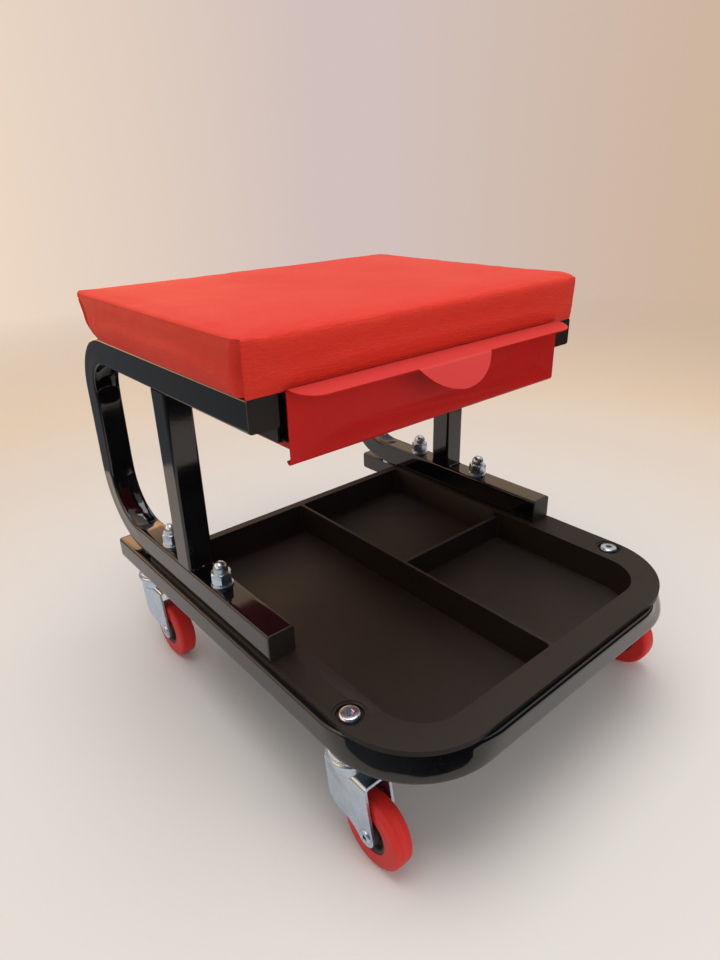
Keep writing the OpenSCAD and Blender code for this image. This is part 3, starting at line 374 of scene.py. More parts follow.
materials = {
    "gloss_black": paintMaterial("glossBlackPaint", glossBlackPlan),
    "drawer_red": paintMaterial("redDrawerPaint", drawerRedPlan),
    "runner_black": paintMaterial("runnerCoating", runnerPlan),
    "tray_plastic": mouldedMaterial("trayPlastic", trayPlan),
    "cap_plastic": mouldedMaterial("endCapPlastic", capPlan),
    "hub_plastic": mouldedMaterial("hubPlastic", hubPlan),
    "red_tyre": mouldedMaterial("tyreRubber", tyrePlan),
    "foam": mouldedMaterial("seatFoam", foamPlan),
    "zinc": metalMaterial("zincPlate", zincPlan),
    "bearing_steel": metalMaterial("bearingSteel", bearingPlan),
    "red_vinyl": vinylMaterial("seatVinyl", vinylPlan),
    "board_wood": woodMaterial("seatBoard", boardPlan),
}
slotOf = {part["node"]: part["material_slot"] for part in frame["record"]["subparts"]}
bodyOf = {node: body for body, members in frame["record"]["behaviour"]["bodies"].items() for node in members}
for node, piece in frame["nodes"].items():
    piece.data.materials.clear()
    piece.data.materials.append(materials[slotOf[node]])
print("materials:", len(materials))


# What each finished piece goes through
mergeDistance = 0.000002      # doubled vertices of the frame's meshes
flatAngle = 0.6      # degrees under which neighbouring faces count as flat
cutSlack = 0.000001


def finishPiece(piece, body, slot, *replaced):
    if not piece.data.materials:
        piece.data.materials.append(materials[slot])
    if replaced:
        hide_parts(*replaced)
    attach(piece, body)


def finishNode(piece, node):
    finishPiece(piece, bodyOf[node], slotOf[node], node)


def meshPiece(name, bm, smoothAngle=35.0):
    mesh = bpy.data.meshes.new(name)
    bm.to_mesh(mesh)
    bm.free()
    mesh.shade_smooth()
    mesh.set_sharp_from_angle(angle=math.radians(smoothAngle))
    piece = bpy.data.objects.new(name, mesh)
    scene.collection.objects.link(piece)
    return piece


def applyModifiers(piece):
    graph = bpy.context.evaluated_depsgraph_get()
    mesh = bpy.data.meshes.new_from_object(piece.evaluated_get(graph))
    piece.modifiers.clear()
    piece.data = mesh


def remeshPiece(piece, voxel):
    remesh = piece.modifiers.new("evenMesh", "REMESH")
    remesh.mode = "VOXEL"
    remesh.voxel_size = voxel
    applyModifiers(piece)


def cleanCopy(node):
    bm = bmesh.new()
    bm.from_mesh(frame["nodes"][node].data)
    bmesh.ops.remove_doubles(bm, verts=bm.verts, dist=mergeDistance)
    bmesh.ops.dissolve_limit(bm, angle_limit=math.radians(flatAngle), verts=bm.verts, edges=bm.edges)
    return bm


def cutAcross(bm, place, normal, **drop):
    bmesh.ops.bisect_plane(bm, geom=bm.verts[:] + bm.edges[:] + bm.faces[:], dist=cutSlack, plane_co=place,
                           plane_no=normal, **drop)


def clampShare(value):
    return min(max(value, 0.0), 1.0)


def smoothShare(value):
    return value * value * (3 - 2 * value)


# Pieces whose sharp edges are eased, with the width of each rounding
easing = {"tray": 0.0009, "base_end_caps": 0.0011, "foot_end_caps": 0.0011, "arm_end_caps": 0.0011,
          "drawer_front": 0.0003, "drawer_pan": 0.0003, "left_runner": 0.0003, "right_runner": 0.0003,
          "left_slide": 0.0002, "right_slide": 0.0002, "flat_washers": 0.0003, "spring_washers": 0.0003,
          "cap_nuts": 0.0003, "frame_bolts": 0.0003, "caster_lock_nuts": 0.0003}


def addEasing(piece, width, angle=35.0):
    bevel = piece.modifiers.new("easedEdges", "BEVEL")
    bevel.width = width
    bevel.segments = 2
    bevel.limit_method = "ANGLE"
    bevel.angle_limit = math.radians(angle)
    bevel.harden_normals = True
    bevel.use_clamp_overlap = True


for node, width in easing.items():
    piece = meshPiece(node + "_finished", cleanCopy(node))
    addEasing(piece, width)
    finishNode(piece, node)
print("eased edges:", len(easing), "pieces")


# Turned and pressed pieces of the casters: outlines of (radius, height) in millimetres, other sizes in metres
casterPlan = {
    "race": ((5.1, 0.0), (13.9, 0.0), (14.8, -0.3), (15.2, -1.0), (15.3, -2.3), (15.6, -3.0),
             (16.4, -3.4), (17.3, -3.8), (17.8, -4.5), (17.9, -5.5), (18.2, -6.2), (18.8, -6.6),
             (19.2, -7.4), (19.2, -9.7), (19.0, -10.3), (18.4, -10.5), (17.8, -10.3), (17.6, -9.8),
             (17.6, -7.8), (13.6, -4.8), (13.6, -1.6), (5.1, -1.6)),
    "tyre": ((16.5, 8.5), (27.2, 8.5), (27.9, 8.35), (28.5, 7.9), (29.6, 7.1), (30.05, 6.6),
             (30.3, 6.0), (30.42, 4.9), (30.15, 4.65), (30.45, 4.4), (30.52, 3.4), (30.25, 3.15),
             (30.56, 2.9), (30.7, 0.0)),
    "hub": ((16.5, 8.0), (15.9, 8.0), (14.4, 7.8), (13.5, 7.1), (13.0, 5.6), (12.5, 3.7), (11.7, 3.0),
            (9.7, 3.0), (9.1, 3.6), (8.9, 9.2), (8.4, 9.9), (6.15, 9.9)),
    "axle": ((2.2, 13.4), (2.6, 13.9), (3.4, 14.2), (4.6, 14.1), (5.6, 13.6), (6.0, 13.0), (6.0, 12.5),
             (4.0, 12.5)),
    "bolt": ((0.0, -48.4), (4.6, -48.4), (5.0, -48.0), (5.0, 0.0), (8.5, 0.0), (8.5, 2.8), (8.3, 3.25),
             (7.3, 4.4), (6.9, 4.6), (3.3, 4.6), (3.0, 4.3), (3.0, 2.2), (0.0, 2.2)),
    "boltHead": 0.0046, "socket": (0.0029, 0.0034), "socketShare": 0.9,
    "collarRadius": 0.017, "forkHalf": 0.0125,
    "forkTop": 0.0782, "flare": (0.058, 0.0745), "flareCuts": 8, "sideCuts": 4, "sideStep": 0.003,
    "flareFrom": 0.008, "flareShare": 0.92, "easing": 0.0004}
ends = ("front_left", "front_right", "rear_left", "rear_right")


def openSocket(bm):
    # turns the round mouth in a bolt's head into a hexagon
    inner, outer = casterPlan["socket"]
    for v in bm.verts:
        if inner < math.hypot(v.co.x, v.co.y) < outer and v.co.z > 0:
            turn = math.radians((math.degrees(math.atan2(v.co.y, v.co.x)) + 30) % 60 - 30)
            v.co.x *= casterPlan["socketShare"] / math.cos(turn)
            v.co.y *= casterPlan["socketShare"] / math.cos(turn)


def spinOutline(bm, outline, matrix, closed=True, steps=72, shape=None):
    part = bmesh.new()
    verts = [part.verts.new((r / 1000, 0, h / 1000)) for r, h in outline]
    edges = [part.edges.new(pair) for pair in zip(verts, verts[1:])]
    if closed:
        edges.append(part.edges.new((verts[-1], verts[0])))
    bmesh.ops.spin(part, geom=verts + edges, cent=(0, 0, 0), axis=(0, 0, 1), angle=2 * math.pi, steps=steps,
                   use_merge=True)
    bmesh.ops.remove_doubles(part, verts=part.verts, dist=cutSlack)
    bmesh.ops.recalc_face_normals(part, faces=part.faces)
    if shape:
        shape(part)
    bmesh.ops.transform(part, matrix=matrix, verts=part.verts)
    mesh = bpy.data.meshes.new("outline")
    part.to_mesh(mesh)
    part.free()
    bm.from_mesh(mesh)
    bpy.data.meshes.remove(mesh)


def mirrored(outline):
    return outline + tuple((r, -h) for r, h in reversed(outline) if h)


def turnPiece(node, ending, outline, matrix, steps=72):
    bm = bmesh.new()
    spinOutline(bm, outline, matrix, steps=steps)
    finishNode(meshPiece(node + ending, bm), node)


def pressFork(node, place):
    # the legs swell out to the round collar above them, as sheet does when it is drawn
    plan = casterPlan
    low, high = plan["flare"]
    bm = cleanCopy(node)
    for i in range(plan["flareCuts"] + 1):
        cutAcross(bm, (0, 0, low + (high - low) * i / plan["flareCuts"]), (0, 0, 1))
    for i in range(-plan["sideCuts"], plan["sideCuts"] + 1):
        cutAcross(bm, (0, place.y + i * plan["sideStep"], 0), (0, 1, 0))
    for v in bm.verts:
        x, y = v.co.x - place.x, v.co.y - place.y
        onCollar = abs(math.hypot(x, y) - plan["collarRadius"]) < 0.0002 or v.co.z > plan["forkTop"] + 0.00005
        bulge = math.sqrt(max(plan["collarRadius"] ** 2 - y * y, 0.0)) - plan["forkHalf"]
        if onCollar or bulge <= 0 or abs(x) < plan["flareFrom"]:
            continue
        rise = clampShare((v.co.z - low) / (high - low))
        reach = min((abs(x) - plan["flareFrom"]) / (plan["forkHalf"] - plan["flareFrom"]), 1.0)
        v.co.x += math.copysign(plan["flareShare"] * bulge * rise ** 1.5 * reach, x)
    piece = meshPiece(node + "_pressed", bm, 30.0)
    addEasing(piece, plan["easing"], 40.0)
    finishNode(piece, node)


def buildCaster(end):
    plan = casterPlan
    head = jointAt[end + "_swivel_turn"]
    wheel = Matrix.Translation(jointAt[end + "_wheel_spin"]) @ Matrix.Rotation(math.pi / 2, 4, "Y")
    turnPiece(end + "_race", "_pressed", plan["race"], Matrix.Translation(head))
    turnPiece(end + "_tyre", "_moulded", mirrored(plan["tyre"]), wheel, 96)
    turnPiece(end + "_hub", "_moulded", mirrored(plan["hub"]), wheel)
    turnPiece(end + "_axle", "_riveted", mirrored(plan["axle"]), wheel, 48)
    pressFork(end + "_fork", head)


def buildCasterBolts(row):
    node = row + "_caster_bolts"
    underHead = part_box(node)[1].z - casterPlan["boltHead"]
    bm = bmesh.new()
    for side in ("_left", "_right"):
        head = jointAt[row + side + "_swivel_turn"]
        place = Matrix.Translation((head.x, head.y, underHead))
        spinOutline(bm, casterPlan["bolt"], place, closed=False, steps=48, shape=openSocket)
    finishNode(meshPiece(node + "_turned", bm), node)


for end in ends:
    buildCaster(end)
for row in ("front", "rear"):
    buildCasterBolts(row)
print("casters: built")


# Weld beads at the ends of the posts, lumpy as they were laid
weldPlan = {"voxel": 0.0008, "grow": 0.0002, "lump": 0.0007, "lumpScale": 260.0, "fine": 0.0002,
            "fineScale": 900.0}


def layWelds(node):
    plan = weldPlan
    piece = meshPiece(node + "_laid", cleanCopy(node))
    remeshPiece(piece, plan["voxel"])
    for v, normal in [(v, v.normal.copy()) for v in piece.data.vertices]:
        lump = noise.noise(v.co * plan["lumpScale"]) * plan["lump"]
        fine = noise.noise(v.co * plan["fineScale"]) * plan["fine"]
        v.co += normal * (lump + fine + plan["grow"])
    piece.data.shade_smooth()
    finishNode(piece, node)


layWelds("post_welds")
print("welds: laid")


# Bent square tubes: a rounded section drawn along its centre line, pinched where it was bent
frameTubePlan = {"size": (0.025, 0.025), "corner": 0.0020, "footShort": 0.0032, "lowRadius": 0.0595,
                 "topRadius": 0.0475, "dent": 0.0026, "flatten": 0.0007, "bulge": 0.0005, "run": 0.012,
                 "lead": 0.02, "leadSteps": 8, "backSteps": 30}
baseTubePlan = {"size": (0.025, 0.022), "corner": 0.0022, "radius": 0.0675, "dent": 0.0012, "flatten": 0.0,
                "bulge": 0.0003, "run": 0.012, "lead": 0.02, "leadSteps": 5, "frontSteps": 22,
                "lean": 0.0085, "leanFrom": -0.85, "leanPast": 0.010, "leanFade": 0.034, "leanReach": 0.014,
                "leanRipple": 0.12}


def startRing(bm, plan, matrix):
    made = bmesh.ops.create_grid(bm, x_segments=1, y_segments=1, size=0.5)
    bmesh.ops.scale(bm, verts=made["verts"], vec=(*plan["size"], 1.0))
    bmesh.ops.bevel(bm, geom=made["verts"], offset=plan["corner"], offset_type="OFFSET", segments=4,
                    profile=0.5, affect="VERTICES", material=-1)
    flats = [e for e in bm.edges if e.calc_length() > 2 * plan["corner"]]
    bmesh.ops.subdivide_edges(bm, edges=flats, cuts=7)
    bmesh.ops.transform(bm, matrix=matrix, verts=bm.verts)
    return list(bm.edges)


def drawStraight(bm, ring, move, steps):
    for _ in range(steps):
        made = bmesh.ops.extrude_edge_only(bm, edges=ring)["geom"]
        verts = {v for v in made if isinstance(v, bmesh.types.BMVert)}
        ring = [e for e in made if isinstance(e, bmesh.types.BMEdge) and set(e.verts) <= verts]
        bmesh.ops.translate(bm, verts=list(verts), vec=Vector(move) / steps)
    return ring


def drawBend(bm, ring, centre, axis, steps=30):
    verts = list({v for e in ring for v in e.verts})
    made = bmesh.ops.spin(bm, geom=verts + ring, cent=centre, axis=axis, angle=math.pi / 2, steps=steps)
    return [e for e in made["geom_last"] if isinstance(e, bmesh.types.BMEdge)]


def closeEnds(bm):
    rims = [e for e in bm.edges if e.is_boundary]
    bmesh.ops.holes_fill(bm, edges=rims, sides=0)
    bmesh.ops.recalc_face_normals(bm, faces=bm.faces)


def pinchBend(bm, plan, across, along, centre, radius, first):
    # moves for the walls of one bend: across gives a point's place over the tube's width, and along its
    # place in the plane of the bend, which starts at the angle called first
    half = plan["size"][0] / 2
    quarter = math.pi / 4 * radius
    outward = Vector((math.cos(first), math.sin(first)))
    outwardEnd = Vector((-outward.y, outward.x))
    for v in bm.verts:
        rel = Vector(along(v.co)) - Vector(centre)
        turn = math.atan2(outwardEnd.dot(rel), outward.dot(rel))
        if 0 <= turn <= math.pi / 2:
            place, away, out = radius * turn - quarter, rel.normalized(), rel.length - radius
        elif turn < 0:
            place, away, out = rel.dot(outwardEnd) - quarter, outward, rel.dot(outward) - radius
        else:
            place, away, out = quarter - rel.dot(outward), outwardEnd, rel.dot(outwardEnd) - radius
        fade = smoothShare(clampShare((quarter + plan["run"] - abs(place)) / (1.6 * plan["run"])))
        if abs(out) > half * 1.2 or fade <= 0:
            continue
        w = across(v.co)
        hollow = max(1 - (w / (half * 0.94)) ** 2, 0.0)
        wave = 1 + 0.22 * noise.noise(Vector((place * 130, w * 20, radius * 90)))
        inner = clampShare((-out / half - 0.6) / 0.3)
        outer = clampShare((out / half - 0.6) / 0.3)
        push = fade * (plan["dent"] * wave * inner * hollow ** 1.4 - plan["flatten"] * outer * hollow)
        swell = fade * plan["bulge"] * math.exp(-((out + half * 0.6) / (half * 0.4)) ** 2)
        yield v, away * push, math.copysign(swell * (abs(w) > half * 0.9), w)


def buildFrameTube(node):
    plan = frameTubePlan
    low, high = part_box(node)
    half, lead = plan["size"][0] / 2, plan["lead"]
    x, back = (low.x + high.x) / 2, high.y - half
    startY, startZ = low.y + plan["footShort"], low.z + half
    lowY, lowZ = back - plan["lowRadius"], startZ + plan["lowRadius"]
    topY, topZ = back - plan["topRadius"], high.z - half - plan["topRadius"]
    bm = bmesh.new()
    ring = startRing(bm, plan, Matrix.Translation((x, startY, startZ)) @ Matrix.Rotation(math.pi / 2, 4, "X"))
    ring = drawStraight(bm, ring, (0, lowY - lead - startY, 0), 1)
    ring = drawStraight(bm, ring, (0, lead, 0), plan["leadSteps"])
    ring = drawBend(bm, ring, (x, lowY, lowZ), (1, 0, 0))
    ring = drawStraight(bm, ring, (0, 0, topZ - lowZ), plan["backSteps"])
    ring = drawBend(bm, ring, (x, topY, topZ), (1, 0, 0))
    ring = drawStraight(bm, ring, (0, -lead, 0), plan["leadSteps"])
    drawStraight(bm, ring, (0, low.y - topY + lead, 0), 1)
    closeEnds(bm)
    for centre, radius, first in (((lowY, lowZ), plan["lowRadius"], -math.pi / 2),
                                  ((topY, topZ), plan["topRadius"], 0.0)):
        moves = list(pinchBend(bm, plan, lambda co: co.x - x, lambda co: (co.y, co.z), centre, radius, first))
        for v, push, side in moves:
            v.co += Vector((side, push.x, push.y))
    finishNode(meshPiece(node + "_bent", bm), node)


def leanBend(bm, plan, sign, centre, z):
    # the stretched outer wall of the base tube's bend leans in above
    for v in bm.verts:
        rel = Vector((sign * (v.co.x - centre[0]), centre[1] - v.co.y))
        place = plan["radius"] * (math.atan2(rel.y, rel.x) - math.pi / 4)
        out = rel.length - plan["radius"] if min(rel) > 0 else max(rel) - plan["radius"]
        if abs(out) > plan["leanReach"] or min(rel) < -plan["lead"]:
            continue
        fade = clampShare((plan["radius"] * math.pi / 4 + plan["leanPast"] - abs(place)) / plan["leanFade"])
        w = max(((v.co.z - z) / (plan["size"][1] / 2) - plan["leanFrom"]) / (1 - plan["leanFrom"]), 0.0)
        ripple = 1 + plan["leanRipple"] * noise.noise(Vector((place * 90, w * 3, sign)))
        share = clampShare(out / (plan["size"][0] / 2) * 0.6 + 0.4) ** 2
        away = Vector((sign * rel.x, -rel.y, 0)).normalized()
        v.co -= away * (plan["lean"] * w ** 1.5) * ripple * share * smoothShare(fade)


def buildBaseTube(node):
    plan = baseTubePlan
    low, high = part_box(node)
    half, lead = plan["size"][0] / 2, plan["lead"]
    x, z, rear = high.x - half, (low.z + high.z) / 2, high.y
    bendX, bendY = x - plan["radius"], low.y + half + plan["radius"]
    bm = bmesh.new()
    ring = startRing(bm, plan, Matrix.Translation((-x, rear, z)) @ Matrix.Rotation(math.pi / 2, 4, "X"))
    ring = drawStraight(bm, ring, (0, bendY + lead - rear, 0), 1)
    ring = drawStraight(bm, ring, (0, -lead, 0), plan["leadSteps"])
    ring = drawBend(bm, ring, (-bendX, bendY, z), (0, 0, 1))
    ring = drawStraight(bm, ring, (2 * bendX, 0, 0), plan["frontSteps"])
    ring = drawBend(bm, ring, (bendX, bendY, z), (0, 0, 1))
    ring = drawStraight(bm, ring, (0, lead, 0), plan["leadSteps"])
    drawStraight(bm, ring, (0, rear - bendY - lead, 0), 1)
    closeEnds(bm)
    for sign, first in ((-1, math.pi), (1, -math.pi / 2)):
        centre = (sign * bendX, bendY)
        moves = list(pinchBend(bm, plan, lambda co: co.z - z, lambda co: (co.x, co.y), centre,
                               plan["radius"], first))
        for v, push, side in moves:
            v.co += Vector((push.x, push.y, side))
        leanBend(bm, plan, sign, centre, z)
    finishNode(meshPiece(node + "_bent", bm), node)


buildFrameTube("left_seat_frame_tube")
buildFrameTube("right_seat_frame_tube")
buildBaseTube("base_frame")
print("tubes: bent")


# Seat cushion: a foam block drawn into a vinyl cover, swollen by a short cloth simulation
cushionPlan = {
    "grow": 0.0010, "below": 0.005, "edgeDown": 0.0009, "drawnIn": 0.0052, "voxel": 0.004,      # block
    "frontRound": 0.004, "frontDrop": 0.0020, "frontSoft": 0.018,      # long front edge
    "pressure": 4.0, "frames": 20, "swell": 0.0014,      # simulation
    "crispRadius": 0.006, "crisp": 0.8, "crispSide": 0.030,      # edges pulled tight
    "pleatAt": (-0.0006, 0.0008, 0.0016, 0.003, 0.0055, 0.0085, 0.012, 0.016),      # corner pleats
    "pleatAround": (0.0, 0.09, 0.15, 0.42, 0.66, 0.85, 1.0),
    "pleatShape": (0.12, 0.16, 1.0, 0.95, 0.60, 0.16, 0.0),
    "pleatDepth": 0.0085, "pleatWidth": 0.016, "rearPleat": 0.35,
    "tuck": 0.0045, "tuckReach": 0.022, "tuckHeight": 0.4,      # rear corners
    "beadAt": (0.0, 0.0010, 0.0022, 0.0032, 0.0046), "beadIn": (0.0005, 0.0, 0.0, 0.0003, 0.0),      # lower rim
    "rim": 0.016, "rimSoft": 0.006, "pucker": 0.0005,
    "foldRing": 0.028, "boardLevel": 0.0095, "boardEdge": 0.995,      # underside
    "cornerPull": 0.0065, "cornerReach": 0.014}      # front right corner


def between(places, values, at):
    # straight lines from value to value
    if at <= places[0] or at >= places[-1]:
        return 0.0 if at > places[-1] else values[0]
    for i in range(len(places) - 1):
        if at <= places[i + 1]:
            share = (at - places[i]) / (places[i + 1] - places[i])
            return values[i] + share * (values[i + 1] - values[i])


def heightShare(z, low, high):
    return clampShare((z - low.z) / (high.z - low.z - cushionPlan["edgeDown"]))


def drawnIn(up):
    # how far the sides stand in from the pad's box at a share of its height
    return cushionPlan["drawnIn"] * (1 - up) ** 1.3


def startCushion(low, high):
    plan = cushionPlan
    middle, size = (low + high) / 2, high - low
    top, bottom = high.z - plan["edgeDown"], low.z - plan["below"]
    bm = bmesh.new()
    bmesh.ops.create_cube(bm, size=1.0)
    wider = 2 * plan["grow"]
    bmesh.ops.scale(bm, verts=bm.verts, vec=(size.x + wider, size.y + wider, top - bottom))
    bmesh.ops.translate(bm, verts=bm.verts, vec=(middle.x, middle.y, (top + bottom) / 2))
    front = [e for e in bm.edges if all(v.co.z > middle.z and v.co.y < middle.y for v in e.verts)]
    bmesh.ops.bevel(bm, geom=front, offset=plan["frontRound"], offset_type="OFFSET", segments=5, profile=0.5,
                    affect="EDGES", material=-1)
    piece = meshPiece("seat_cushion", bm)
    remeshPiece(piece, plan["voxel"])
    return piece


def crownCushion(piece, low, high):
    # sides drawn in towards the board, top crowned, front edge lower than the others
    plan = cushionPlan
    middle, half = (low + high) / 2, (high - low) / 2
    for v in piece.data.vertices:
        co = v.co
        up = heightShare(co.z, low, high)
        x, y = (co.x - middle.x) / half.x, (co.y - middle.y) / half.y
        crown = plan["edgeDown"] * up * max(1 - abs(x) ** 4, 0.0) * max(1 - abs(y) ** 4, 0.0)
        front = max(1 - (co.y - low.y) / plan["frontSoft"], 0.0) * min((1 - min(abs(x), 1.0)) / 0.10, 1.0)
        v.co = Vector((co.x - x * drawnIn(up), co.y - y * drawnIn(up),
                       co.z + crown - plan["frontDrop"] * up * front ** 2))


def swellCushion(piece, low):
    plan = cushionPlan
    before = [v.co.copy() for v in piece.data.vertices]
    held = piece.vertex_groups.new(name="held")
    held.add([v.index for v in piece.data.vertices if v.co.z < low.z + 0.003], 1.0, "REPLACE")
    cloth = piece.modifiers.new("swell", "CLOTH")
    cloth.settings.use_pressure = True
    cloth.settings.uniform_pressure_force = plan["pressure"]
    cloth.settings.effector_weights.gravity = 0.0
    cloth.settings.vertex_group_mass = "held"
    cloth.settings.quality = 5
    cloth.point_cache.frame_start = 1
    cloth.point_cache.frame_end = plan["frames"]
    for step in range(1, plan["frames"] + 1):
        scene.frame_set(step)
    applyModifiers(piece)
    scene.frame_set(1)
    piece.vertex_groups.clear()
    for v, was in zip(piece.data.vertices, before):
        move = v.co - was
        if move.length > plan["swell"]:
            move *= plan["swell"] / move.length
        v.co = was + move


def tightenEdges(piece, low, high):
    # the cover is stretched tight over the edges of the foam, all but the long front one
    plan = cushionPlan
    middle, half = (low + high) / 2, (high - low) / 2
    radius = plan["crispRadius"]
    top = high.z - plan["edgeDown"]
    for v in piece.data.vertices:
        inset = drawnIn(heightShare(v.co.z, low, high)) - plan["grow"]
        away = []
        for value, centre, reach in ((v.co.x, middle.x, half.x - inset), (v.co.y, middle.y, half.y - inset)):
            away.append(math.copysign(max(abs(value - centre) - reach + radius, 0.0), value - centre))
        away.append(max(v.co.z - top + radius, 0.0))
        rel = Vector(away)
        if rel.length < 0.0001:
            continue
        fromSide = half.x - abs(v.co.x - middle.x)
        frontEdge = away[1] < 0 and away[2] > 0
        share = plan["crisp"] * (min(max(1.3 - fromSide / plan["crispSide"], 0.2), 1.0) if frontEdge else 1.0)
        v.co += rel * share * (rel.length / max(abs(a) for a in away) - 1)


def fitHeight(piece, low, high):
    # keeps the cover's outside within the height that the cover has
    top = max(v.co.z for v in piece.data.vertices)
    for v in piece.data.vertices:
        if v.co.z > low.z:
            v.co.z = low.z + (v.co.z - low.z) / (top - low.z) * (high.z - low.z)


def cutCushion(bm, low, high):
    # edges for the pleats to fold along and for the rim below, where the block is cut off
    plan = cushionPlan
    slope = plan["drawnIn"] / (high.z - low.z)
    cutAcross(bm, (0, 0, low.z), (0, 0, 1), clear_inner=True)
    for step in plan["pleatAt"]:
        cutAcross(bm, (0, low.y + plan["drawnIn"] + step, low.z), (0, 1, slope))
        cutAcross(bm, (0, high.y - plan["drawnIn"] - step, low.z), (0, -1, slope))
    for step in plan["beadAt"][1:]:
        cutAcross(bm, (0, 0, low.z + step), (0, 0, 1))


def creaseMove(co, normal, low, high):
    # how one point of the cover moves for the pleats, the rim, the tucked corners and the puckers
    plan = cushionPlan
    middle, half = (low + high) / 2, (high - low) / 2
    x, y = co.x - middle.x, co.y - middle.y
    up = heightShare(co.z, low, high)
    side = clampShare((abs(x) - half.x + plan["rim"]) / plan["rimSoft"])
    end = clampShare((abs(y) - half.y + plan["rim"]) / plan["rimSoft"])
    move = Vector((0, 0, 0))
    if side > 0 and abs(normal.x) > 0.35:
        spindle = max(math.sin(math.pi * min(0.12 + up * 0.9, 1.0)), 0.0) ** 0.7
        fromEnd = half.y - abs(y) - drawnIn(up)
        if fromEnd < plan["pleatWidth"]:
            around = max(fromEnd, 0.0) / (plan["pleatWidth"] * (0.2 + 0.8 * spindle))
            depth = plan["pleatDepth"] * spindle * (1.0 if y < 0 else plan["rearPleat"])
            move.x -= math.copysign(depth * between(plan["pleatAround"], plan["pleatShape"], around), x)
    if max(side, end) > 0 and up < 0.2 and abs(normal.z) < 0.9:
        inward = between(plan["beadAt"], plan["beadIn"], co.z - low.z)
        move -= inward * Vector((side * math.copysign(1, x), end * math.copysign(1, y), 0))
    away = Vector((half.x - abs(x), half.y - y, 0)).length
    below = max(1 - up / plan["tuckHeight"], 0.0) ** 2
    tuck = plan["tuck"] * below * math.exp(-(away / plan["tuckReach"]) ** 2)
    move -= tuck * Vector((math.copysign(1, x), 1, 0)) * (y > 0)
    edge = math.exp(-((up - 0.86) / 0.16) ** 2) * max(side, end)
    rough = noise.noise(Vector((co.x * 55, co.y * 55, co.z * 30))) * plan["pucker"] * (0.4 + edge)
    return move + normal * rough * (up > 0.1)


def foldUnder(bm, low, high):
    # the cover is folded under the seat, with the board left bare inside the fold
    plan = cushionPlan
    middle, half = (low + high) / 2, (high - low) / 2
    rim = [e for e in bm.edges if e.is_boundary]
    fold = [1 - plan["foldRing"] / (reach - plan["drawnIn"]) for reach in (half.x, half.y)]
    for factor, rise in ((fold, 0.0), ([plan["boardEdge"]] * 2, plan["boardLevel"])):
        made = bmesh.ops.extrude_edge_only(bm, edges=rim)["geom"]
        inner = [v for v in made if isinstance(v, bmesh.types.BMVert)]
        rim = [e for e in made if isinstance(e, bmesh.types.BMEdge) and e.is_boundary]
        for v in inner:
            v.co = Vector((middle.x + (v.co.x - middle.x) * factor[0],
                           middle.y + (v.co.y - middle.y) * factor[1], v.co.z + rise))
    bmesh.ops.holes_fill(bm, edges=rim, sides=0)


def pullCorner(bm, low, high):
    # the front right corner was pulled rounder than the left one
    plan = cushionPlan
    for v in bm.verts:
        up = heightShare(v.co.z, low, high)
        near = math.exp(-((high.x - v.co.x) ** 2 + (v.co.y - low.y) ** 2) / plan["cornerReach"] ** 2)
        v.co += plan["cornerPull"] * near * (0.35 + 0.65 * up * up) * Vector((-0.8, 0.6, -0.25 * up))


def sewCushion(piece, low, high):
    bm = bmesh.new()
    bm.from_mesh(piece.data)
    cutCushion(bm, low, high)
    bm.normal_update()
    moves = [creaseMove(v.co, v.normal, low, high) for v in bm.verts]
    for v, move in zip(bm.verts, moves):
        v.co += move
    foldUnder(bm, low, high)
    pullCorner(bm, low, high)
    bmesh.ops.recalc_face_normals(bm, faces=bm.faces)
    bm.to_mesh(piece.data)
    bm.free()
    piece.data.shade_smooth()
    piece.data.set_sharp_from_angle(angle=math.radians(50))


def buildCushion():
    low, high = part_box("seat_cover")
    piece = startCushion(low, high)
    crownCushion(piece, low, high)
    swellCushion(piece, low)
    smooth = piece.modifiers.new("smooth", "SUBSURF")
    smooth.levels = smooth.render_levels = 1
    applyModifiers(piece)
    tightenEdges(piece, low, high)
    fitHeight(piece, low, high)
    sewCushion(piece, low, high)
    return piece


cushion = buildCushion()
finishPiece(cushion, "frame", "red_vinyl", "seat_cover", "seat_foam")
print("cushion: made,", len(cushion.data.polygons), "faces")


# Floor, cards, world and lamps
floorPlan = {"size": 12.0, "near": (0.74, 0.71, 0.69), "far": (0.84, 0.66, 0.50), "warm": (0.35, 1.1),
             "fade": (0.9, 2.4), "roughness": 0.7, "specular": 0.2}
cardPlan = {"radius": 0.76, "height": 1.1, "low": 0.30, "lowSoft": 0.01, "left": (0.155, 0.165, 0.18),
            "front": (0.006, 0.008, 0.014), "band": (3.4, 2.0, 1.05), "bandTop": 0.52, "bandSoft": 0.08,
            "frontWay": (-0.25, -0.97), "backWay": (-0.65, 0.76), "sideWay": (-0.6, 0.8),
            "frontRange": (0.20, 0.45), "backRange": (0.25, 0.55), "sideRange": (-0.35, 0.35)}
worldPlan = {"light": (1.0, 0.97, 0.94, 1.0), "strength": 0.46, "across": (0.767, -0.641),
             "left": (0.84, 0.68, 0.55), "middle": (0.64, 0.53, 0.50), "right": (0.62, 0.46, 0.34),
             "leftRange": (-0.45, -0.05), "rightRange": (0.05, 0.45), "warm": (0.95, 0.70, 0.49),
             "warmRange": (0.20, 0.34), "cool": (0.62, 0.70, 0.80), "coolRange": (0.62, 0.85)}
lampPlan = {
    "topLamp": {"place": (-0.10, 0.10, 2.2), "size": (1.8, 1.8), "power": 33.0, "colour": (1.0, 0.97, 0.94),
                "mirrored": True},
    "frontLamp": {"place": (0.3, -2.4, 0.9), "size": (1.6, 1.2), "power": 12.0, "colour": (1.0, 0.97, 0.95),
                  "mirrored": False},
    "windowLamp": {"place": (-0.9, -1.3, 0.9), "size": (0.4, 0.6), "power": 2.0, "colour": (0.90, 0.95, 1.0),
                   "mirrored": True}}
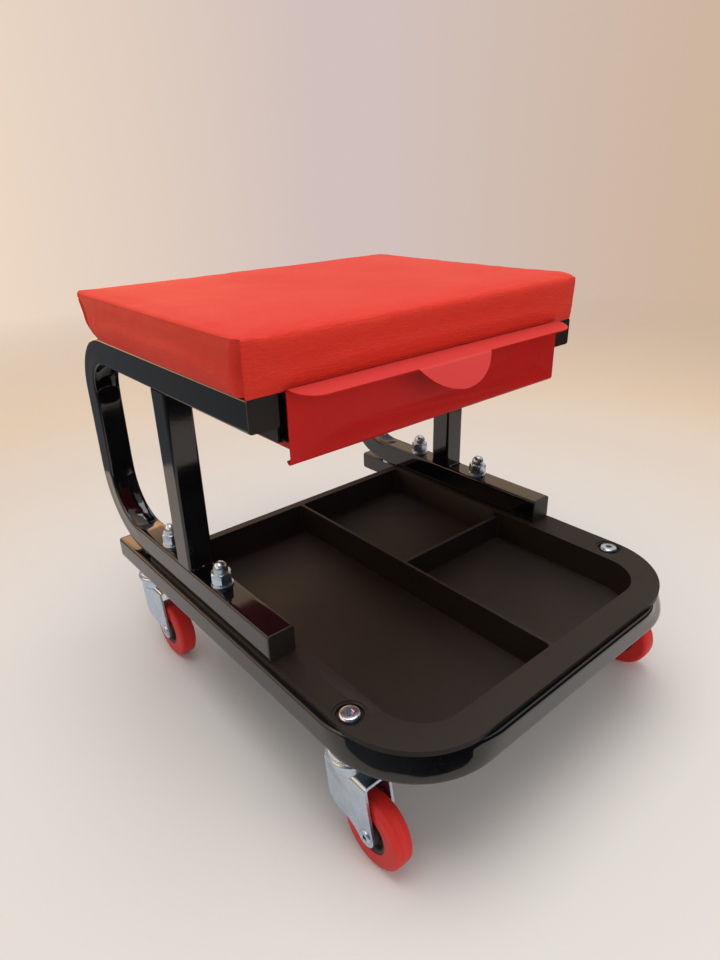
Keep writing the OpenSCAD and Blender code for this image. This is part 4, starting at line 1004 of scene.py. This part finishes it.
lampAim = (0.0, 0.0, 0.2)


def addAlong(tree, apart, way):
    # how far a point lies along a level direction
    return addMath(tree, "ADD", addProduct(tree, apart["X"], way[0]), addProduct(tree, apart["Y"], way[1]))


def addStage():
    plan = floorPlan
    bm = bmesh.new()
    bmesh.ops.create_grid(bm, x_segments=1, y_segments=1, size=plan["size"] / 2)
    floor = meshPiece("studioFloor", bm)
    material, tree, shader, place = startMaterial("paleFloor")
    distance = addNode(tree, "ShaderNodeVectorMath", {0: place}, operation="LENGTH").outputs["Value"]
    tone = mixColours(tree, addRange(tree, distance, *plan["warm"]), plan["near"], plan["far"])
    tree.links.new(tone, shader.inputs["Base Color"])
    tree.links.new(addRange(tree, distance, *plan["fade"], 1.0, 0.0), shader.inputs["Alpha"])
    shader.inputs["Roughness"].default_value = plan["roughness"]
    shader.inputs["Specular IOR Level"].default_value = plan["specular"]
    floor.data.materials.append(material)


def cardMaterial():
    # low all round, tall in front, and with a warm band at the back left
    plan = cardPlan
    material = bpy.data.materials.new("darkCard")
    tree = emptyTree(material)
    apart = addApart(tree, addNode(tree, "ShaderNodeTexCoord").outputs["Object"])
    forward, backward = (addAlong(tree, apart, [c / plan["radius"] for c in plan[way]])
                         for way in ("frontWay", "backWay"))
    tall = addRange(tree, forward, *plan["frontRange"])
    low = addRange(tree, apart["Z"], plan["low"] - plan["lowSoft"], plan["low"] + plan["lowSoft"], 1.0, 0.0)
    belowTop = addRange(tree, apart["Z"], plan["bandTop"] - plan["bandSoft"], plan["bandTop"], 1.0, 0.0)
    band = addProduct(tree, addRange(tree, backward, *plan["backRange"]),
                      addMath(tree, "SUBTRACT", belowTop, low))
    side = addRange(tree, addAlong(tree, apart, plan["sideWay"]), *plan["sideRange"])
    tone = mixColours(tree, band, mixColours(tree, side, plan["front"], plan["left"]), plan["band"])
    glow = addNode(tree, "ShaderNodeEmission", {"Color": tone, "Strength": 1.0})
    clear = addNode(tree, "ShaderNodeBsdfTransparent")
    shown = addMath(tree, "MAXIMUM", band, addMath(tree, "MAXIMUM", tall, low))
    mix = addNode(tree, "ShaderNodeMixShader", {0: shown, 1: clear.outputs[0], 2: glow.outputs[0]})
    addNode(tree, "ShaderNodeOutputMaterial", {0: mix.outputs[0]})
    return material


def addCards():
    # dark studio cards round the seat, seen only in what is glossy, as round any object shot in a dim room
    plan = cardPlan
    bm = bmesh.new()
    bmesh.ops.create_cone(bm, cap_ends=False, segments=96, radius1=plan["radius"], radius2=plan["radius"],
                          depth=plan["height"])
    bmesh.ops.translate(bm, verts=bm.verts, vec=(0, 0, plan["height"] / 2))
    cards = meshPiece("studioCards", bm)
    cards.data.materials.append(cardMaterial())
    cards.visible_camera = cards.visible_diffuse = cards.visible_shadow = False
    cards.visible_transmission = cards.visible_volume_scatter = False


def addWorld():
    # paler to the left and warmer to the right; what is glossy also sees a warm band with a cool top above it
    plan = worldPlan
    world = bpy.data.worlds.new("studioWorld")
    tree = emptyTree(world)
    apart = addApart(tree, addNode(tree, "ShaderNodeTexCoord").outputs["Generated"])
    across = addAlong(tree, apart, plan["across"])
    tone = mixColours(tree, addRange(tree, across, *plan["leftRange"]), plan["left"], plan["middle"])
    tone = mixColours(tree, addRange(tree, across, *plan["rightRange"]), tone, plan["right"])
    tone = mixColours(tree, addRange(tree, apart["Z"], *plan["warmRange"]), tone, plan["warm"])
    tone = mixColours(tree, addRange(tree, apart["Z"], *plan["coolRange"]), tone, plan["cool"])
    light = addNode(tree, "ShaderNodeBackground", {"Color": plan["light"], "Strength": plan["strength"]})
    seen = addNode(tree, "ShaderNodeBackground", {"Color": tone, "Strength": 1.0})
    rays = addNode(tree, "ShaderNodeLightPath").outputs
    seenRay = addMath(tree, "MAXIMUM", rays["Is Camera Ray"],
                      addMath(tree, "MAXIMUM", rays["Is Glossy Ray"], rays["Is Transmission Ray"]))
    mix = addNode(tree, "ShaderNodeMixShader", {0: seenRay, 1: light.outputs[0], 2: seen.outputs[0]})
    addNode(tree, "ShaderNodeOutputWorld", {0: mix.outputs[0]})
    scene.world = world


def addLamp(name, plan):
    data = bpy.data.lights.new(name, "AREA")
    data.shape = "RECTANGLE"
    data.size, data.size_y = plan["size"]
    data.energy = plan["power"]
    data.color = plan["colour"]
    lamp = bpy.data.objects.new(name, data)
    lamp.location = plan["place"]
    lamp.rotation_euler = (Vector(lampAim) - Vector(plan["place"])).to_track_quat("-Z", "Y").to_euler()
    lamp.visible_glossy = plan["mirrored"]
    scene.collection.objects.link(lamp)


addStage()
addCards()
addWorld()
for name, plan in lampPlan.items():
    addLamp(name, plan)
print("stage: set")
